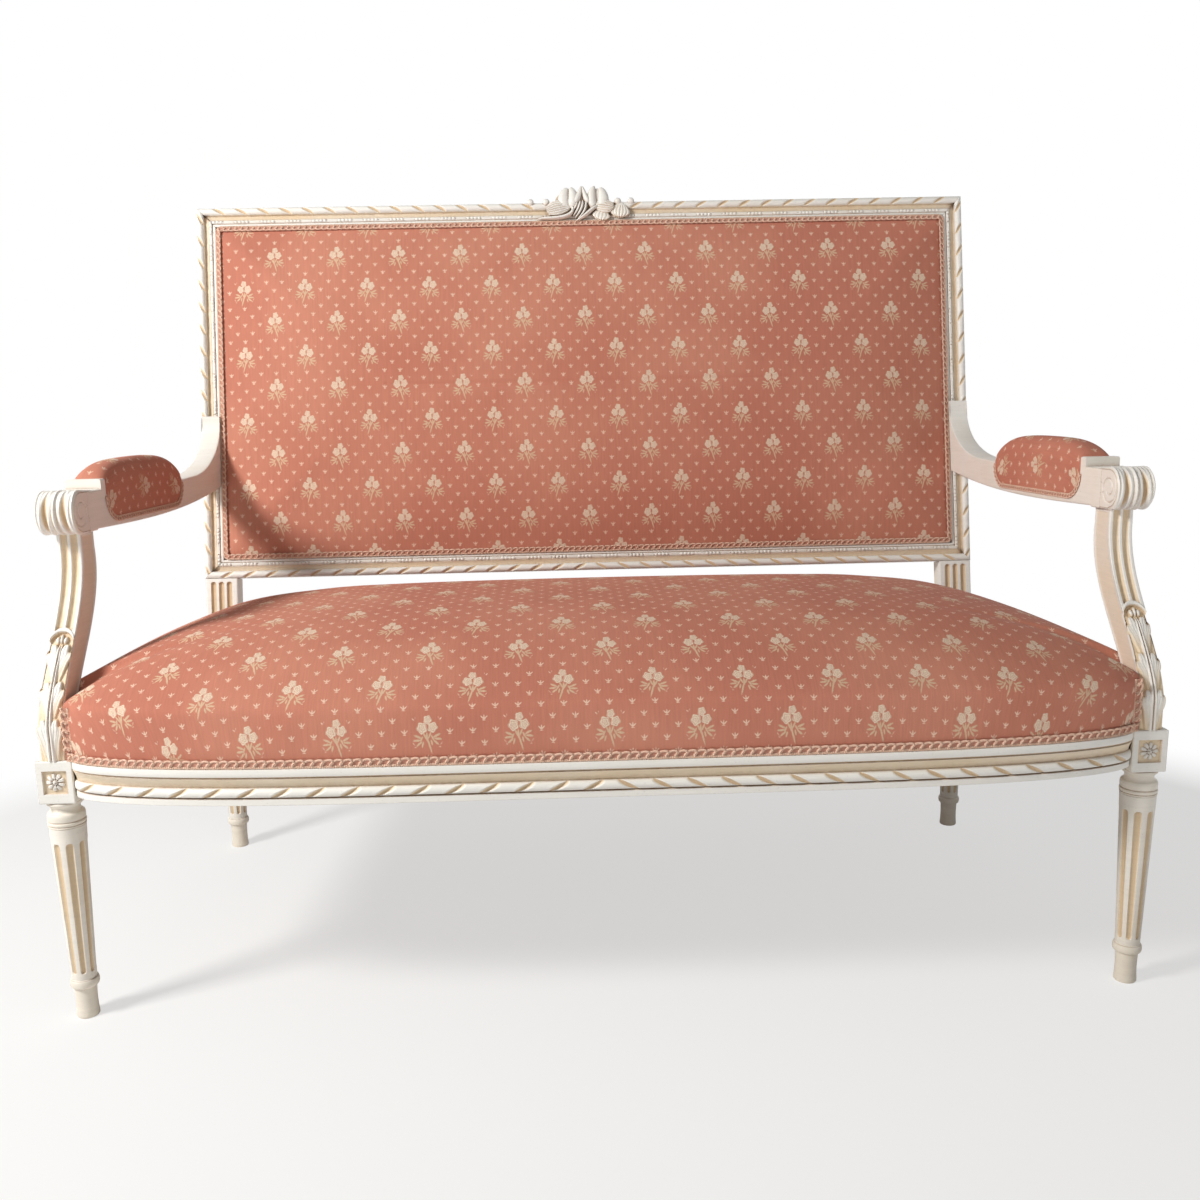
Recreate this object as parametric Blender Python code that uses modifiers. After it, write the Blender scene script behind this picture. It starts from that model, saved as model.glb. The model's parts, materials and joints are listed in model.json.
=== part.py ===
"""Two-seat settee with a carved, painted frame and a stuffed seat, back and arm pads.

Metres, +Z up, the front faces -Y. While it is built, Y = 0 is at the front leg axes;
the whole settee then hangs on one empty that centres it on the origin.
Pieces that come in pairs are modelled for the side at +X and mirrored to the other.
"""

import math

import bmesh
import bpy
from mathutils import Matrix, Vector

# Driving dimensions: plan of the frame
back_half_width = 0.6125
front_leg_reach = 0.0125
rear_leg_inset = 0.02525
leg_depth = 0.532
joint_gap = 0.0003

# Seat frame heights
rail_top = 0.3195
rail_height = 0.0425
block_height = 0.050
front_block_size = 0.041
rear_block_width = 0.0505
rear_block_depth = 0.041

# Turned legs
leg_facets = 16
foot_radius = 0.0130
foot_waist_radius = 0.0122
ankle_ring_radius = 0.0165
ankle_ring_height = 0.0110
foot_height = 0.0380
shaft_foot_radius = 0.0140
shaft_head_radius = 0.0203
head_ring_radius = 0.0212
neck_radius = 0.0158
cap_ring_radius = 0.0200
head_stack_height = 0.0310
flute_count = 8
flute_head_radius = 0.0047
flute_foot_radius = 0.0033
flute_start = 0.0085
flute_stop = 0.0180

# Carved panels on the front blocks
panel_size = 0.027
panel_depth = 0.003
rosette_radius = 0.0105
rosette_height = 0.0030

# Front rail in plan: a nearly straight bow whose ends turn back to the blocks
bow_reach = 0.060
bow_squareness = 4.5
bow_roundness = 1.8
bow_inner_reach = 0.054
rail_end_depth = 0.034
rail_stations = 20
side_rail_thickness = 0.034
side_setback = 0.002
back_rail_thickness = 0.032

# Rail moulding, top to bottom
fillet_height = 0.0070
quirk_depth = 0.0015
cove_depth = 0.0075
torus_height = 0.0125
torus_lip = 0.0018
foot_fillet_setback = 0.0065
foot_fillet_height = 0.0035

# Tenons
tenon_length = 0.014
tenon_thickness = 0.010
tenon_height = 0.028
tenon_foot = 0.007
tenon_root = 0.004

# Back frame, in its own raked plane
back_rake = math.radians(11.0)
back_height = 0.588
back_foot_z = 0.4418
back_foot_y = leg_depth + 0.011
stile_width = 0.046
moulding_width = 0.029
moulding_depth = 0.012
back_thickness = 0.034
core_lap = 0.0008
twist_radius = 0.0055
bead_strip_depth = 0.0040
bead_strip_width = 0.0055
inner_fillet_depth = 0.0055
post_width = 0.050
post_front_depth = 0.004
reed_groove_radius = 0.0042
reed_groove_count = 3
back_tenon_length = 0.018

# Crest carved in the top rail
crest_half_width = 0.078
crest_rise = 0.0225
crest_relief = 0.008

# Arm supports
support_width = 0.030
support_top_width = 0.028
support_inset = 0.005
support_depth = 0.041
support_swell = 0.008
support_setback = 0.105
support_foot_rise = 0.0355
support_head_drop = 0.021
support_sweep_power = 1.6
support_back_round = 0.002
support_flute_rise = 0.130
support_flute_radius = 0.0036
arm_underside = 0.566
support_stations = 14
support_tenon = 0.011
support_tenon_half = 0.006
support_tenon_shift = 0.004

# Arms
arm_width = 0.043
arm_front_y = 0.080
arm_front_shift = 0.0020
scroll_radius = 0.026
scroll_height = 0.590
scroll_width = 0.045
scroll_facets = 20
arm_top = 0.6125
stop_front_y = 0.138
stop_height = 0.0120
pad_front_y = 0.150
pad_rear_y = leg_depth - 0.134
pad_bed = 0.6065
pad_top = 0.646
pad_end_height = 0.016
pad_skirt = 0.5745
pad_skirt_depth = 0.003
pad_corner_radius = 0.030
pad_corner_steps = 4
arm_sag = 0.003
arm_sweep_y = leg_depth - 0.077
arm_rear_underside = 0.583
arm_rear_top = 0.694
arm_edge_bevel = 0.0025
arm_tenon_half = 0.005
arm_tenon_drop = 0.082
arm_tenon_height = 0.036
arm_tenon_reach = 0.050
arm_rear_reach = 0.020
arm_seat_drop = 0.0015
arm_seat_step = 0.006
arm_sweep_edge = 0.004
arm_sweep_foot = 0.002
scroll_eye_rise = 0.0008
scroll_hollow = 0.0010
scroll_edge_round = 0.0030
cutter_overshoot = 0.030

# Seat upholstery
web_width = 0.050
web_thickness = 0.0015
web_count_long = 9
web_side_margin = 0.1045
web_count_cross = 3
web_rear_margin = 0.152
web_first_cross = 0.120
web_overlap = 0.012
spring_radius = 0.040
spring_waist = 0.026
spring_wire = 0.0018
spring_height = 0.105
spring_turns = 3.0
spring_points = 8
spring_columns = 4
canvas_thickness = 0.0015
cover_thickness = 0.002
stuffing_ease = 0.0008
bow_end_ease = 0.5
hollow_margin = 0.030
hollow_side = 0.045
hollow_straight = 0.300
cover_setback = 0.006
cover_bulge = 0.004
seat_wall_height = 0.066
seat_crown = 0.075
seat_crown_power = 3.0
seat_spine_half = 0.34
seat_spine_y = leg_depth * 0.376
seat_round_power = 2.6
seat_rear_y = leg_depth + 0.009
seat_front_steps = 9
gimp_height = 0.0105
gimp_thickness = 0.0022
gimp_end_gap = 0.002

# Back and arm upholstery
back_crown = 0.024
back_crown_power = 3.0
back_cover_thickness = 0.0015
back_gimp_width = 0.009
back_gimp_thickness = 0.0020
back_gimp_rise = 0.0026
back_web_count = 7
back_web_rows = 3
outside_cover_thickness = 0.002
outside_cover_inset = 0.022
arm_gimp_radius = 0.0020

# Corner braces and their screws
brace_height = 0.026
brace_drop = 0.006
brace_inner = 0.100
brace_outer = 0.052
brace_screw_depth = 0.016
screw_head_radius = 0.0040
screw_head_height = 0.0028
screw_shank_radius = 0.0021
screw_length = 0.034
screw_facets = 8

front_half = back_half_width + front_leg_reach
rear_half = back_half_width - rear_leg_inset
splay = (front_half - rear_half) / leg_depth
block_foot = rail_top - block_height
rail_foot = rail_top - rail_height
front_block_half = front_block_size / 2
rail_reach = front_half - front_block_half
rear_block_inner = rear_half - rear_block_width / 2
rear_block_front = leg_depth - rear_block_depth / 2
rear_block_rear = leg_depth + rear_block_depth / 2
side_outer = front_half + front_block_half
web_pitch_long = 2 * (rail_reach - web_side_margin) / (web_count_long - 1)
web_pitch_cross = (leg_depth - web_first_cross - web_rear_margin) / (web_count_cross - 1)
spring_pitch = 2 * web_pitch_long

parts = bpy.data.collections.new("settee")
cutters = bpy.data.collections.new("settee_cutters")


def clear_scene():
    for item in list(bpy.data.objects):
        bpy.data.objects.remove(item, do_unlink=True)


def paint(name, colour, roughness, metallic=0.0):
    """A Principled material of one colour."""
    made = bpy.data.materials.new(name)
    made.use_nodes = True
    shader = made.node_tree.nodes["Principled BSDF"]
    shader.inputs["Base Color"].default_value = (*colour, 1.0)
    shader.inputs["Roughness"].default_value = roughness
    shader.inputs["Metallic"].default_value = metallic
    return made


def finished_mesh(bm, name):
    """The bmesh as a mesh with its faces pointing out."""
    bmesh.ops.recalc_face_normals(bm, faces=bm.faces)
    mesh = bpy.data.meshes.new(name)
    bm.to_mesh(mesh)
    bm.free()
    return mesh


def box(x, y, z):
    """A box between the pairs x, y and z."""
    bm = bmesh.new()
    bmesh.ops.create_cube(bm, size=1.0)
    size = Vector((x[1] - x[0], y[1] - y[0], z[1] - z[0]))
    middle = Vector((x[0] + x[1], y[0] + y[1], z[0] + z[1])) / 2
    sized = Matrix.Translation(middle) @ Matrix.Diagonal((*size, 1.0))
    bmesh.ops.transform(bm, matrix=sized, verts=bm.verts)
    return finished_mesh(bm, "box")


def ellipsoid(middle, radii, turn=0.0, around=8, rings=5):
    """A ball stretched to its radii and turned in the plane of the back, XZ."""
    bm = bmesh.new()
    bmesh.ops.create_uvsphere(bm, u_segments=around, v_segments=rings, radius=1.0)
    turned_there = Matrix.Translation(middle) @ Matrix.Rotation(turn, 4, "Y")
    bmesh.ops.transform(bm, matrix=turned_there @ Matrix.Diagonal((*radii, 1.0)), verts=bm.verts)
    return finished_mesh(bm, "ellipsoid")


def loft(rings, closed=False):
    """A closed body through rings that hold the same number of points."""
    bm = bmesh.new()
    rows = [[bm.verts.new(point) for point in ring] for ring in rings]
    count = len(rows[0])
    pairs = list(zip(rows, rows[1:]))
    if closed:
        pairs.append((rows[-1], rows[0]))
    for near, far in pairs:
        for i in range(count):
            j = (i + 1) % count
            bm.faces.new((near[i], near[j], far[j], far[i]))
    if not closed:
        bm.faces.new(rows[0])
        bm.faces.new(rows[-1])
    return finished_mesh(bm, "loft")


def evaluated_mesh(source):
    """The mesh of an object with its modifiers applied, in the object's own space."""
    bpy.context.view_layer.update()
    graph = bpy.context.evaluated_depsgraph_get()
    return bpy.data.meshes.new_from_object(source.evaluated_get(graph))


def helper(name, data):
    """A cutter or guide object, which the render leaves out."""
    item = bpy.data.objects.new(name, data)
    cutters.objects.link(item)
    item.hide_render = True
    item.display_type = "WIRE"
    return item


def turned(profile, facets):
    """A turned body: (radius, height) points from top to bottom, spun about Z."""
    mesh = bpy.data.meshes.new("profile")
    points = [(radius, 0.0, height) for radius, height in profile]
    edges = [(i, i + 1) for i in range(len(points) - 1)]
    mesh.from_pydata(points, edges, [])
    guide = helper("profile", mesh)
    spin = guide.modifiers.new("spin", "SCREW")
    spin.steps = facets
    spin.render_steps = facets
    spin.use_merge_vertices = True
    spin.merge_threshold = 0.00001
    return taken(guide)


def tube(points, radius, resolution=1, cyclic=False):
    """A round wire through the points, as a welded mesh."""
    curve = bpy.data.curves.new("wire", "CURVE")
    curve.dimensions = "3D"
    curve.bevel_depth = radius
    curve.bevel_resolution = resolution
    curve.use_fill_caps = True
    spline = curve.splines.new("POLY")
    spline.points.add(len(points) - 1)
    for point, place in zip(spline.points, points):
        point.co = (*place, 1.0)
    spline.use_cyclic_u = cyclic
    mesh = taken(helper("wire", curve))
    return welded(mesh)


def welded(mesh):
    bm = bmesh.new()
    bm.from_mesh(mesh)
    bmesh.ops.remove_doubles(bm, verts=bm.verts, dist=0.00001)
    return finished_mesh(bm, mesh.name)


def taken(guide):
    """The evaluated mesh of a guide object, which is then removed."""
    mesh = evaluated_mesh(guide)
    bpy.data.objects.remove(guide, do_unlink=True)
    return mesh


def joined(meshes):
    """Separate bodies as one mesh, for use as a cutter."""
    bm = bmesh.new()
    for mesh in meshes:
        bm.from_mesh(mesh)
    return finished_mesh(bm, "joined")


def moved(mesh, matrix):
    mesh.transform(matrix)
    if matrix.determinant() < 0:
        mesh.flip_normals()
    return mesh


def combined(body, added=(), removed=()):
    """The body with others joined to it and others cut from it."""
    base = helper("base", body)
    helpers = []
    for kind, meshes in (("UNION", added), ("DIFFERENCE", removed)):
        for mesh in meshes:
            other = helper("other", mesh)
            helpers.append(other)
            step = base.modifiers.new(kind.lower(), "BOOLEAN")
            step.operation = kind
            step.solver = "EXACT"
            step.object = other
    mesh = taken(base)
    for other in helpers:
        bpy.data.objects.remove(other, do_unlink=True)
    return mesh


def place(name, mesh, material, location=(0, 0, 0), rotation=(0, 0, 0), smooth=35.0):
    """A finished piece, hung on the settee's empty."""
    mesh.name = name
    mesh.materials.clear()
    mesh.materials.append(material)
    mesh.shade_smooth()
    mesh.set_sharp_from_angle(angle=math.radians(smooth))
    piece = bpy.data.objects.new(name, mesh)
    parts.objects.link(piece)
    piece.location = location
    piece.rotation_euler = rotation
    piece.parent = root
    return piece


def place_pair(name, mesh, material, location=(0, 0, 0), rotation=(0, 0, 0), smooth=35.0):
    """The piece at +X, and its mirror image at -X."""
    other = moved(mesh.copy(), Matrix.Scale(-1.0, 4, (1, 0, 0)))
    x, y, z = location
    tilt_x, tilt_y, tilt_z = rotation
    right = place(name + "_right", mesh, material, (x, y, z), rotation, smooth)
    left = place(name + "_left", other, material, (-x, y, z), (tilt_x, -tilt_y, -tilt_z), smooth)
    return right, left


def grown(low_high, by):
    return (low_high[0] - by, low_high[1] + by)


def socket(sides):
    """The mortise for a tenon: its box with the joint gap all round."""
    return box(*(grown(side, joint_gap) for side in sides))


# Where each tenon of the seat frame lies, as (x, y, z) pairs
tenon_z = (rail_foot + tenon_foot, rail_foot + tenon_foot + tenon_height)
front_tenon = (
    (rail_reach - joint_gap, rail_reach + tenon_length),
    (-0.002 - tenon_thickness, -0.002),
    tenon_z,
)
side_tenon_front = (
    (front_half - tenon_thickness / 2, front_half + tenon_thickness / 2),
    (front_block_half - tenon_length, front_block_half + joint_gap),
    tenon_z,
)
side_tenon_rear = (
    (rear_half, rear_half + tenon_thickness),
    (rear_block_front - joint_gap, rear_block_front + tenon_length),
    tenon_z,
)
back_tenon = (
    (rear_block_inner - joint_gap, rear_block_inner + tenon_length),
    (leg_depth - tenon_thickness / 2, leg_depth + tenon_thickness / 2),
    tenon_z,
)


def turned_leg():
    """The leg from the floor to just inside its block, with its flutes cut."""
    top = block_foot
    head = top - head_stack_height
    ankle = foot_height + ankle_ring_height
    profile = [
        (0.0, top + 0.006),
        (cap_ring_radius - 0.0015, top + 0.006),
        (cap_ring_radius - 0.0015, top - 0.0008),
        (cap_ring_radius, top - 0.0022),
        (cap_ring_radius, top - 0.0045),
        (neck_radius + 0.0012, top - 0.0070),
        (neck_radius, top - 0.0110),
        (neck_radius + 0.0004, top - 0.0145),
        (shaft_head_radius - 0.0012, head + 0.0125),
        (shaft_head_radius + 0.0003, head + 0.0100),
        (shaft_head_radius + 0.0003, head + 0.0068),
        (shaft_head_radius - 0.0006, head + 0.0060),
        (head_ring_radius, head + 0.0042),
        (head_ring_radius, head + 0.0014),
        (shaft_head_radius, head),
        (shaft_foot_radius, ankle),
        (ankle_ring_radius - 0.0010, ankle - 0.0008),
        (ankle_ring_radius, ankle - 0.0035),
        (ankle_ring_radius, foot_height + 0.0030),
        (ankle_ring_radius - 0.0012, foot_height + 0.0006),
        (foot_waist_radius + 0.0004, foot_height - 0.0008),
        (foot_waist_radius, foot_height * 0.55),
        (foot_radius, foot_height * 0.10),
        (foot_radius, 0.0),
        (0.0, 0.0),
    ]
    flutes = joined([flute(k, ankle, head) for k in range(flute_count)])
    return combined(turned(profile, leg_facets), removed=[flutes])


def flute(index, ankle, head):
    """One long round-ended groove cutter that follows the taper of the shaft."""
    foot_z = ankle + flute_start
    head_z = head - flute_stop
    slope = (shaft_head_radius - shaft_foot_radius) / (head - ankle)
    bm = bmesh.new()
    bmesh.ops.create_uvsphere(bm, u_segments=8, v_segments=5, radius=1.0)
    for vert in bm.verts:
        upper = vert.co.z > 0
        radius = flute_head_radius if upper else flute_foot_radius
        end_z = head_z - flute_head_radius if upper else foot_z + flute_foot_radius
        axis_x = shaft_foot_radius + slope * (end_z - ankle) + radius * 0.32
        vert.co = Vector((axis_x, 0.0, end_z)) + vert.co * radius
    turn = Matrix.Rotation(2 * math.pi * (index + 0.5) / flute_count, 4, "Z")
    bmesh.ops.transform(bm, matrix=turn, verts=bm.verts)
    return finished_mesh(bm, "flute")


def front_leg(material):
    """Turned leg, square block with two carved panels, and its three mortises."""
    half = front_block_half
    block = box((-half, half), (-half, half), (block_foot, rail_top))
    panel = panel_size / 2
    middle = (block_foot + rail_top) / 2
    panel_z = (middle - panel, middle + panel)
    recess_front = box((-panel, panel), (-half - 0.01, -half + panel_depth), panel_z)
    recess_side = box((half - panel_depth, half + 0.01), (-panel, panel), panel_z)
    high = rosette_height + 0.001
    sunk = half - panel_depth - 0.001
    front_rose = ellipsoid((0, -sunk, middle), (rosette_radius, high, rosette_radius))
    side_rose = ellipsoid((sunk, 0, middle), (high, rosette_radius, rosette_radius))
    to_leg = Matrix.Translation((-front_half, 0, 0))
    mortises = [moved(socket(sides), to_leg) for sides in (front_tenon, side_tenon_front, support_tenon_box)]
    block = combined(block, removed=[joined([recess_front, recess_side] + mortises)])
    mesh = combined(turned_leg(), added=[block, front_rose, side_rose])
    place_pair("front_leg", mesh, material, (front_half, 0, 0))


def superellipse_bow(x, reach, half, squareness, roundness):
    """How far a bowed edge stands forward at x: its full reach, falling to nothing at the ends."""
    share = min(abs(x) / half, 1.0)
    return reach * (1.0 - share ** squareness) ** (1.0 / roundness)


def rail_front_y(x):
    """Outer edge of the front rail in plan."""
    bow = superellipse_bow(x, bow_reach, rail_reach, bow_squareness, bow_roundness)
    return -front_block_half + 0.0035 - bow


def rail_back_y(x):
    """Inner face of the front rail in plan."""
    share = min(abs(x) / rail_reach, 1.0)
    return rail_end_depth / 2 - 0.003 - bow_inner_reach * (1.0 - share ** 2)


def rail_profile():
    """The rail's moulded face as (depth behind the front edge, height) points, top to bottom."""
    top = rail_top
    under_fillet = top - fillet_height
    torus_top = rail_foot + foot_fillet_height + torus_height
    torus_foot = rail_foot + foot_fillet_height
    torus_middle = (torus_top + torus_foot) / 2
    return [
        (0.0, top),
        (0.0, under_fillet),
        (quirk_depth, under_fillet - 0.0007),
        (quirk_depth, under_fillet - 0.0022),
        (quirk_depth * 0.4, under_fillet - 0.0030),
        (cove_depth * 0.40, under_fillet - 0.0055),
        (cove_depth * 0.85, torus_top + 0.0040),
        (cove_depth, torus_top + 0.0012),
        (torus_lip + 0.0035, torus_top),
        (torus_lip + 0.0008, torus_middle + 0.0040),
        (torus_lip, torus_middle),
        (torus_lip + 0.0008, torus_middle - 0.0040),
        (torus_lip + 0.0035, torus_foot + 0.0003),
        (foot_fillet_setback, torus_foot),
        (foot_fillet_setback, rail_foot),
    ]


def front_rail(material):
    """The bowed, moulded front rail with a tenon at each end."""
    rings = []
    reach = rail_reach - joint_gap
    for i in range(rail_stations + 1):
        x = reach * math.sin(math.pi * (i / rail_stations - 0.5))
        front = rail_front_y(x)
        back = rail_back_y(x)
        ring = [(x, front + depth, height) for depth, height in rail_profile()]
        rings.append(ring + [(x, back, rail_foot), (x, back, rail_top)])
    tenon = box((reach - tenon_root, front_tenon[0][1]), *front_tenon[1:])
    other = moved(tenon.copy(), Matrix.Scale(-1.0, 4, (1, 0, 0)))
    mesh = combined(loft(rings), added=[tenon, other], removed=brace_screws("front"))
    place("front_seat_rail", mesh, material)


def side_face_x(y):
    """Outer line of the frame's side in plan: it follows the splay of the legs."""
    return side_outer - splay * y


def side_inner_x(y):
    """Inner face of the side rail in plan."""
    return side_face_x(y) - side_setback - side_rail_thickness


def side_rail(material):
    """The moulded side rail between the front and rear blocks, with a tenon at each end."""
    ends = (front_block_half + joint_gap, rear_block_front - joint_gap)
    rings = []
    for y in ends:
        outer = side_face_x(y) - side_setback
        ring = [(outer - depth, y, height) for depth, height in rail_profile()]
        inner = outer - side_rail_thickness
        rings.append(ring + [(inner, y, rail_foot), (inner, y, rail_top)])
    front_end = box(side_tenon_front[0], (side_tenon_front[1][0], ends[0] + tenon_root), tenon_z)
    rear_end = box(side_tenon_rear[0], (ends[1] - tenon_root, side_tenon_rear[1][1]), tenon_z)
    mesh = combined(loft(rings), added=[front_end, rear_end], removed=brace_screws("side"))
    place_pair("side_seat_rail", mesh, material)


def back_rail_faces():
    return (leg_depth - back_rail_thickness / 2, leg_depth + back_rail_thickness / 2)


def back_rail(material):
    """The plain rear seat rail, with a tenon at each end."""
    reach = rear_block_inner - joint_gap
    body = box((-reach, reach), back_rail_faces(), (rail_foot, rail_top))
    tenon = box((reach - tenon_root, back_tenon[0][1]), *back_tenon[1:])
    other = moved(tenon.copy(), Matrix.Scale(-1.0, 4, (1, 0, 0)))
    mesh = combined(body, added=[tenon, other], removed=brace_screws("back"))
    place("back_seat_rail", mesh, material)


def raked():
    """From the back frame's own plane (x, depth, height up the rake) to the settee."""
    return Matrix.Translation((0, back_foot_y, back_foot_z)) @ Matrix.Rotation(-back_rake, 4, "X")


def strip_profile(strip_back):
    """The back's moulding as (distance in from the edge, depth) points, outside to inside."""
    r = twist_radius
    bead_end = moulding_width - 0.0045
    bead_start = bead_end - bead_strip_width
    return [
        (0.0, strip_back),
        (0.0, r),
        (r * 0.29, r * 0.29),
        (r, 0.0),
        (r * 1.71, r * 0.29),
        (r * 1.95, r * 0.85),
        (r * 2.15, r * 1.35),
        (r * 2.60, r * 1.50),
        (bead_start - 0.0010, r * 1.15),
        (bead_start, bead_strip_depth),
        (bead_end, bead_strip_depth),
        (bead_end + 0.0008, inner_fillet_depth),
        (moulding_width, inner_fillet_depth),
        (moulding_width, strip_back),
    ]


def moulding_strip(along, strip_back, shift=0.0):
    """One mitred length of the back's moulding: stile at +X, bottom rail or top rail."""
    rings = []
    for end in (0, 1):
        ring = []
        for inset, depth in strip_profile(strip_back):
            if along == "stile":
                height = inset + shift if end == 0 else back_height - inset - shift
                ring.append((back_half_width - inset, depth, height))
            else:
                reach = back_half_width - inset - shift
                height = inset if along == "bottom" else back_height - inset
                ring.append((reach if end else -reach, depth, height))
        rings.append(ring)
    return loft(rings)


def back_rail_tenon(along, end):
    """The tenon of a back rail in the stile, in the raked plane."""
    inner = back_half_width - stile_width
    low = 0.008 if along == "bottom" else back_height - stile_width + 0.008
    x = (inner - joint_gap, inner + back_tenon_length)
    depth = (moulding_depth + 0.006, moulding_depth + 0.016)
    height = (low, low + stile_width - 0.016)
    if end == "left":
        x = (-x[1], -x[0])
    return (x, depth, height)


def rear_post(material):
    """Rear leg, block, reeded post and raked, moulded stile, all of one piece."""
    block = box(
        (rear_block_inner, rear_half + rear_block_width / 2),
        (rear_block_front, rear_block_rear),
        (block_foot, rail_top),
    )
    leg = moved(turned_leg(), Matrix.Translation((rear_half, leg_depth, 0)))
    outer = back_half_width - 0.0004
    sunk = -(back_foot_z - rail_top + 0.012) / math.cos(back_rake)
    stile = box(
        (back_half_width - stile_width, outer),
        (moulding_depth, back_thickness),
        (-0.02, back_height - 0.0004),
    )
    post = box(
        (back_half_width - post_width, outer - 0.0002),
        (post_front_depth, back_thickness - 0.0002),
        (sunk, -0.0004),
    )
    strip = moulding_strip("stile", moulding_depth + 0.0005, 0.0)
    grooves = []
    for i in range(reed_groove_count):
        x = back_half_width - post_width * (i + 1) / (reed_groove_count + 1)
        depth = post_front_depth - reed_groove_radius * 0.25
        bottom = sunk + 0.018
        grooves.append(tube([(x, depth, bottom), (x, depth, -0.008)], reed_groove_radius, 2))
    sockets = [socket(back_rail_tenon(along, "right")) for along in ("bottom", "top")]
    upper = combined(stile, added=[post, strip], removed=[joined(grooves + sockets)])
    moved(upper, raked())
    mortises = [socket(sides) for sides in (side_tenon_rear, back_tenon, arm_tenon_box)]
    mesh = combined(block, added=[leg, upper], removed=[joined(mortises)])
    moved(mesh, Matrix.Translation((-rear_half, -leg_depth, 0)))
    place_pair("rear_post", mesh, material, (rear_half, leg_depth, 0))


def back_frame_rail(along):
    """A rail of the back: mitred moulding, core between the stiles, and its tenons."""
    inner = back_half_width - stile_width - joint_gap
    strip_back = moulding_depth - joint_gap
    core_front = moulding_depth - core_lap
    low = 0.0004 if along == "bottom" else back_height - stile_width
    core = box((-inner, inner), (core_front, back_thickness), (low, low + stile_width - 0.0004))
    tenons = []
    for end in ("left", "right"):
        x, depth, height = back_rail_tenon(along, end)
        inward = (x[0], x[1] + 0.004) if end == "left" else (x[0] - 0.004, x[1])
        tenons.append(box(inward, depth, height))
    strip = moulding_strip(along, strip_back, joint_gap * 1.5)
    return combined(core, added=[strip] + tenons)


def crest_forms():
    """The crest's masses: an upright bud, two blooms, fanned leaves, a swirl and berries."""
    top = back_height
    deep = crest_relief
    bud_top = top + crest_rise
    forms = [ellipsoid((0, 0.006, bud_top - 0.016), (0.0085, deep + 0.001, 0.016))]
    forms.append(ellipsoid((0, 0.004, top - 0.0200), (0.0300, deep, 0.0075), 0.03))
    for side in (-1, 1):
        forms += [
            ellipsoid((side * 0.0215, 0.006, top + 0.003), (0.0150, deep + 0.002, 0.0175), side * 0.15),
            ellipsoid((side * 0.0390, 0.005, top - 0.011), (0.0180, deep, 0.0105), side * 0.30),
            ellipsoid((side * (crest_half_width - 0.021), 0.005, top - 0.001), (0.0065, 0.0060, 0.0060)),
            ellipsoid((side * (crest_half_width - 0.006), 0.005, top - 0.003), (0.0060, 0.0060, 0.0055)),
        ]
    return forms


def back_rails(material):
    turn = (-back_rake, 0, 0)
    here = (0, back_foot_y, back_foot_z)
    place("back_bottom_rail", back_frame_rail("bottom"), material, here, turn)
    top = combined(back_frame_rail("top"), added=crest_forms())
    place("back_top_rail", top, material, here, turn)


def support_sweep(z):
    """How far up its S-curve the support is at a height, from 0 at the foot to 1 at the head."""
    foot = rail_top + support_foot_rise
    head = arm_underside - support_head_drop
    return min(max((z - foot) / (head - foot), 0.0), 1.0)


def support_front_y(z):
    """The support's front face: upright at its foot, swept back, upright again at its head."""
    sweep = math.sin(support_sweep(z) * math.pi / 2) ** support_sweep_power
    return -front_block_half - 0.001 + support_setback * sweep


def support_back_y(z):
    """The support's rear face, a little further off where the curve leans most."""
    swell = support_swell * math.sin(support_sweep(z) * math.pi)
    return support_front_y(z) + support_depth + swell


support_x = side_outer - support_inset - support_width / 2
support_tenon_box = (
    (support_x - support_tenon_half, support_x + support_tenon_half),
    (-support_tenon_half - support_tenon_shift, support_tenon_half - support_tenon_shift),
    (rail_top - support_tenon, rail_top + joint_gap),
)
arm_tenon_middle = arm_front_y + support_depth / 2
arm_support_tenon = (
    (support_x - support_tenon_half, support_x + support_tenon_half),
    (arm_tenon_middle - support_tenon_half, arm_tenon_middle + support_tenon_half),
    (arm_underside - tenon_root, arm_underside + tenon_length),
)
arm_rear_width = moulding_width - 0.001
arm_rear_x = back_half_width - arm_rear_width / 2
arm_rear_y = leg_depth + arm_rear_reach
arm_tenon_top = arm_rear_top - arm_tenon_drop + arm_tenon_height
arm_tenon_box = (
    (arm_rear_x - arm_tenon_half, arm_rear_x + arm_tenon_half),
    (leg_depth + tenon_length, leg_depth + arm_tenon_reach),
    (arm_tenon_top - arm_tenon_height, arm_tenon_top),
)


def support_shaft(extra=0.0):
    """The support's S-curved shaft between the block and the arm, or a larger one that clears it."""
    rings = []
    low = rail_top + joint_gap - extra
    high = arm_underside - joint_gap
    for i in range(support_stations + 1):
        share = i / support_stations
        z = low + (high - low) * share
        half = (support_width + (support_top_width - support_width) * share) / 2 + extra
        front = support_front_y(z) - extra
        back = support_back_y(z) + extra
        rings.append([
            (support_x - half, front, z),
            (support_x + half, front, z),
            (support_x + half, back - support_back_round, z),
            (support_x + half - support_back_round, back, z),
            (support_x - half + support_back_round, back, z),
            (support_x - half, back - support_back_round, z),
        ])
    return loft(rings)


def support_flutes():
    """Two round-bottomed grooves up the support's front, from its band to its head."""
    band = rail_top + support_flute_rise
    head = arm_underside - joint_gap - 0.012
    steps = 6
    grooves = []
    for side in (-1, 1):
        x = support_x + side * support_top_width * 0.20
        heights = [band + (head - band) * i / steps for i in range(steps + 1)]
        route = [(x, support_front_y(z) - 0.0004, z) for z in heights]
        grooves.append(tube(route, support_flute_radius, 2))
    return joined(grooves)


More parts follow.
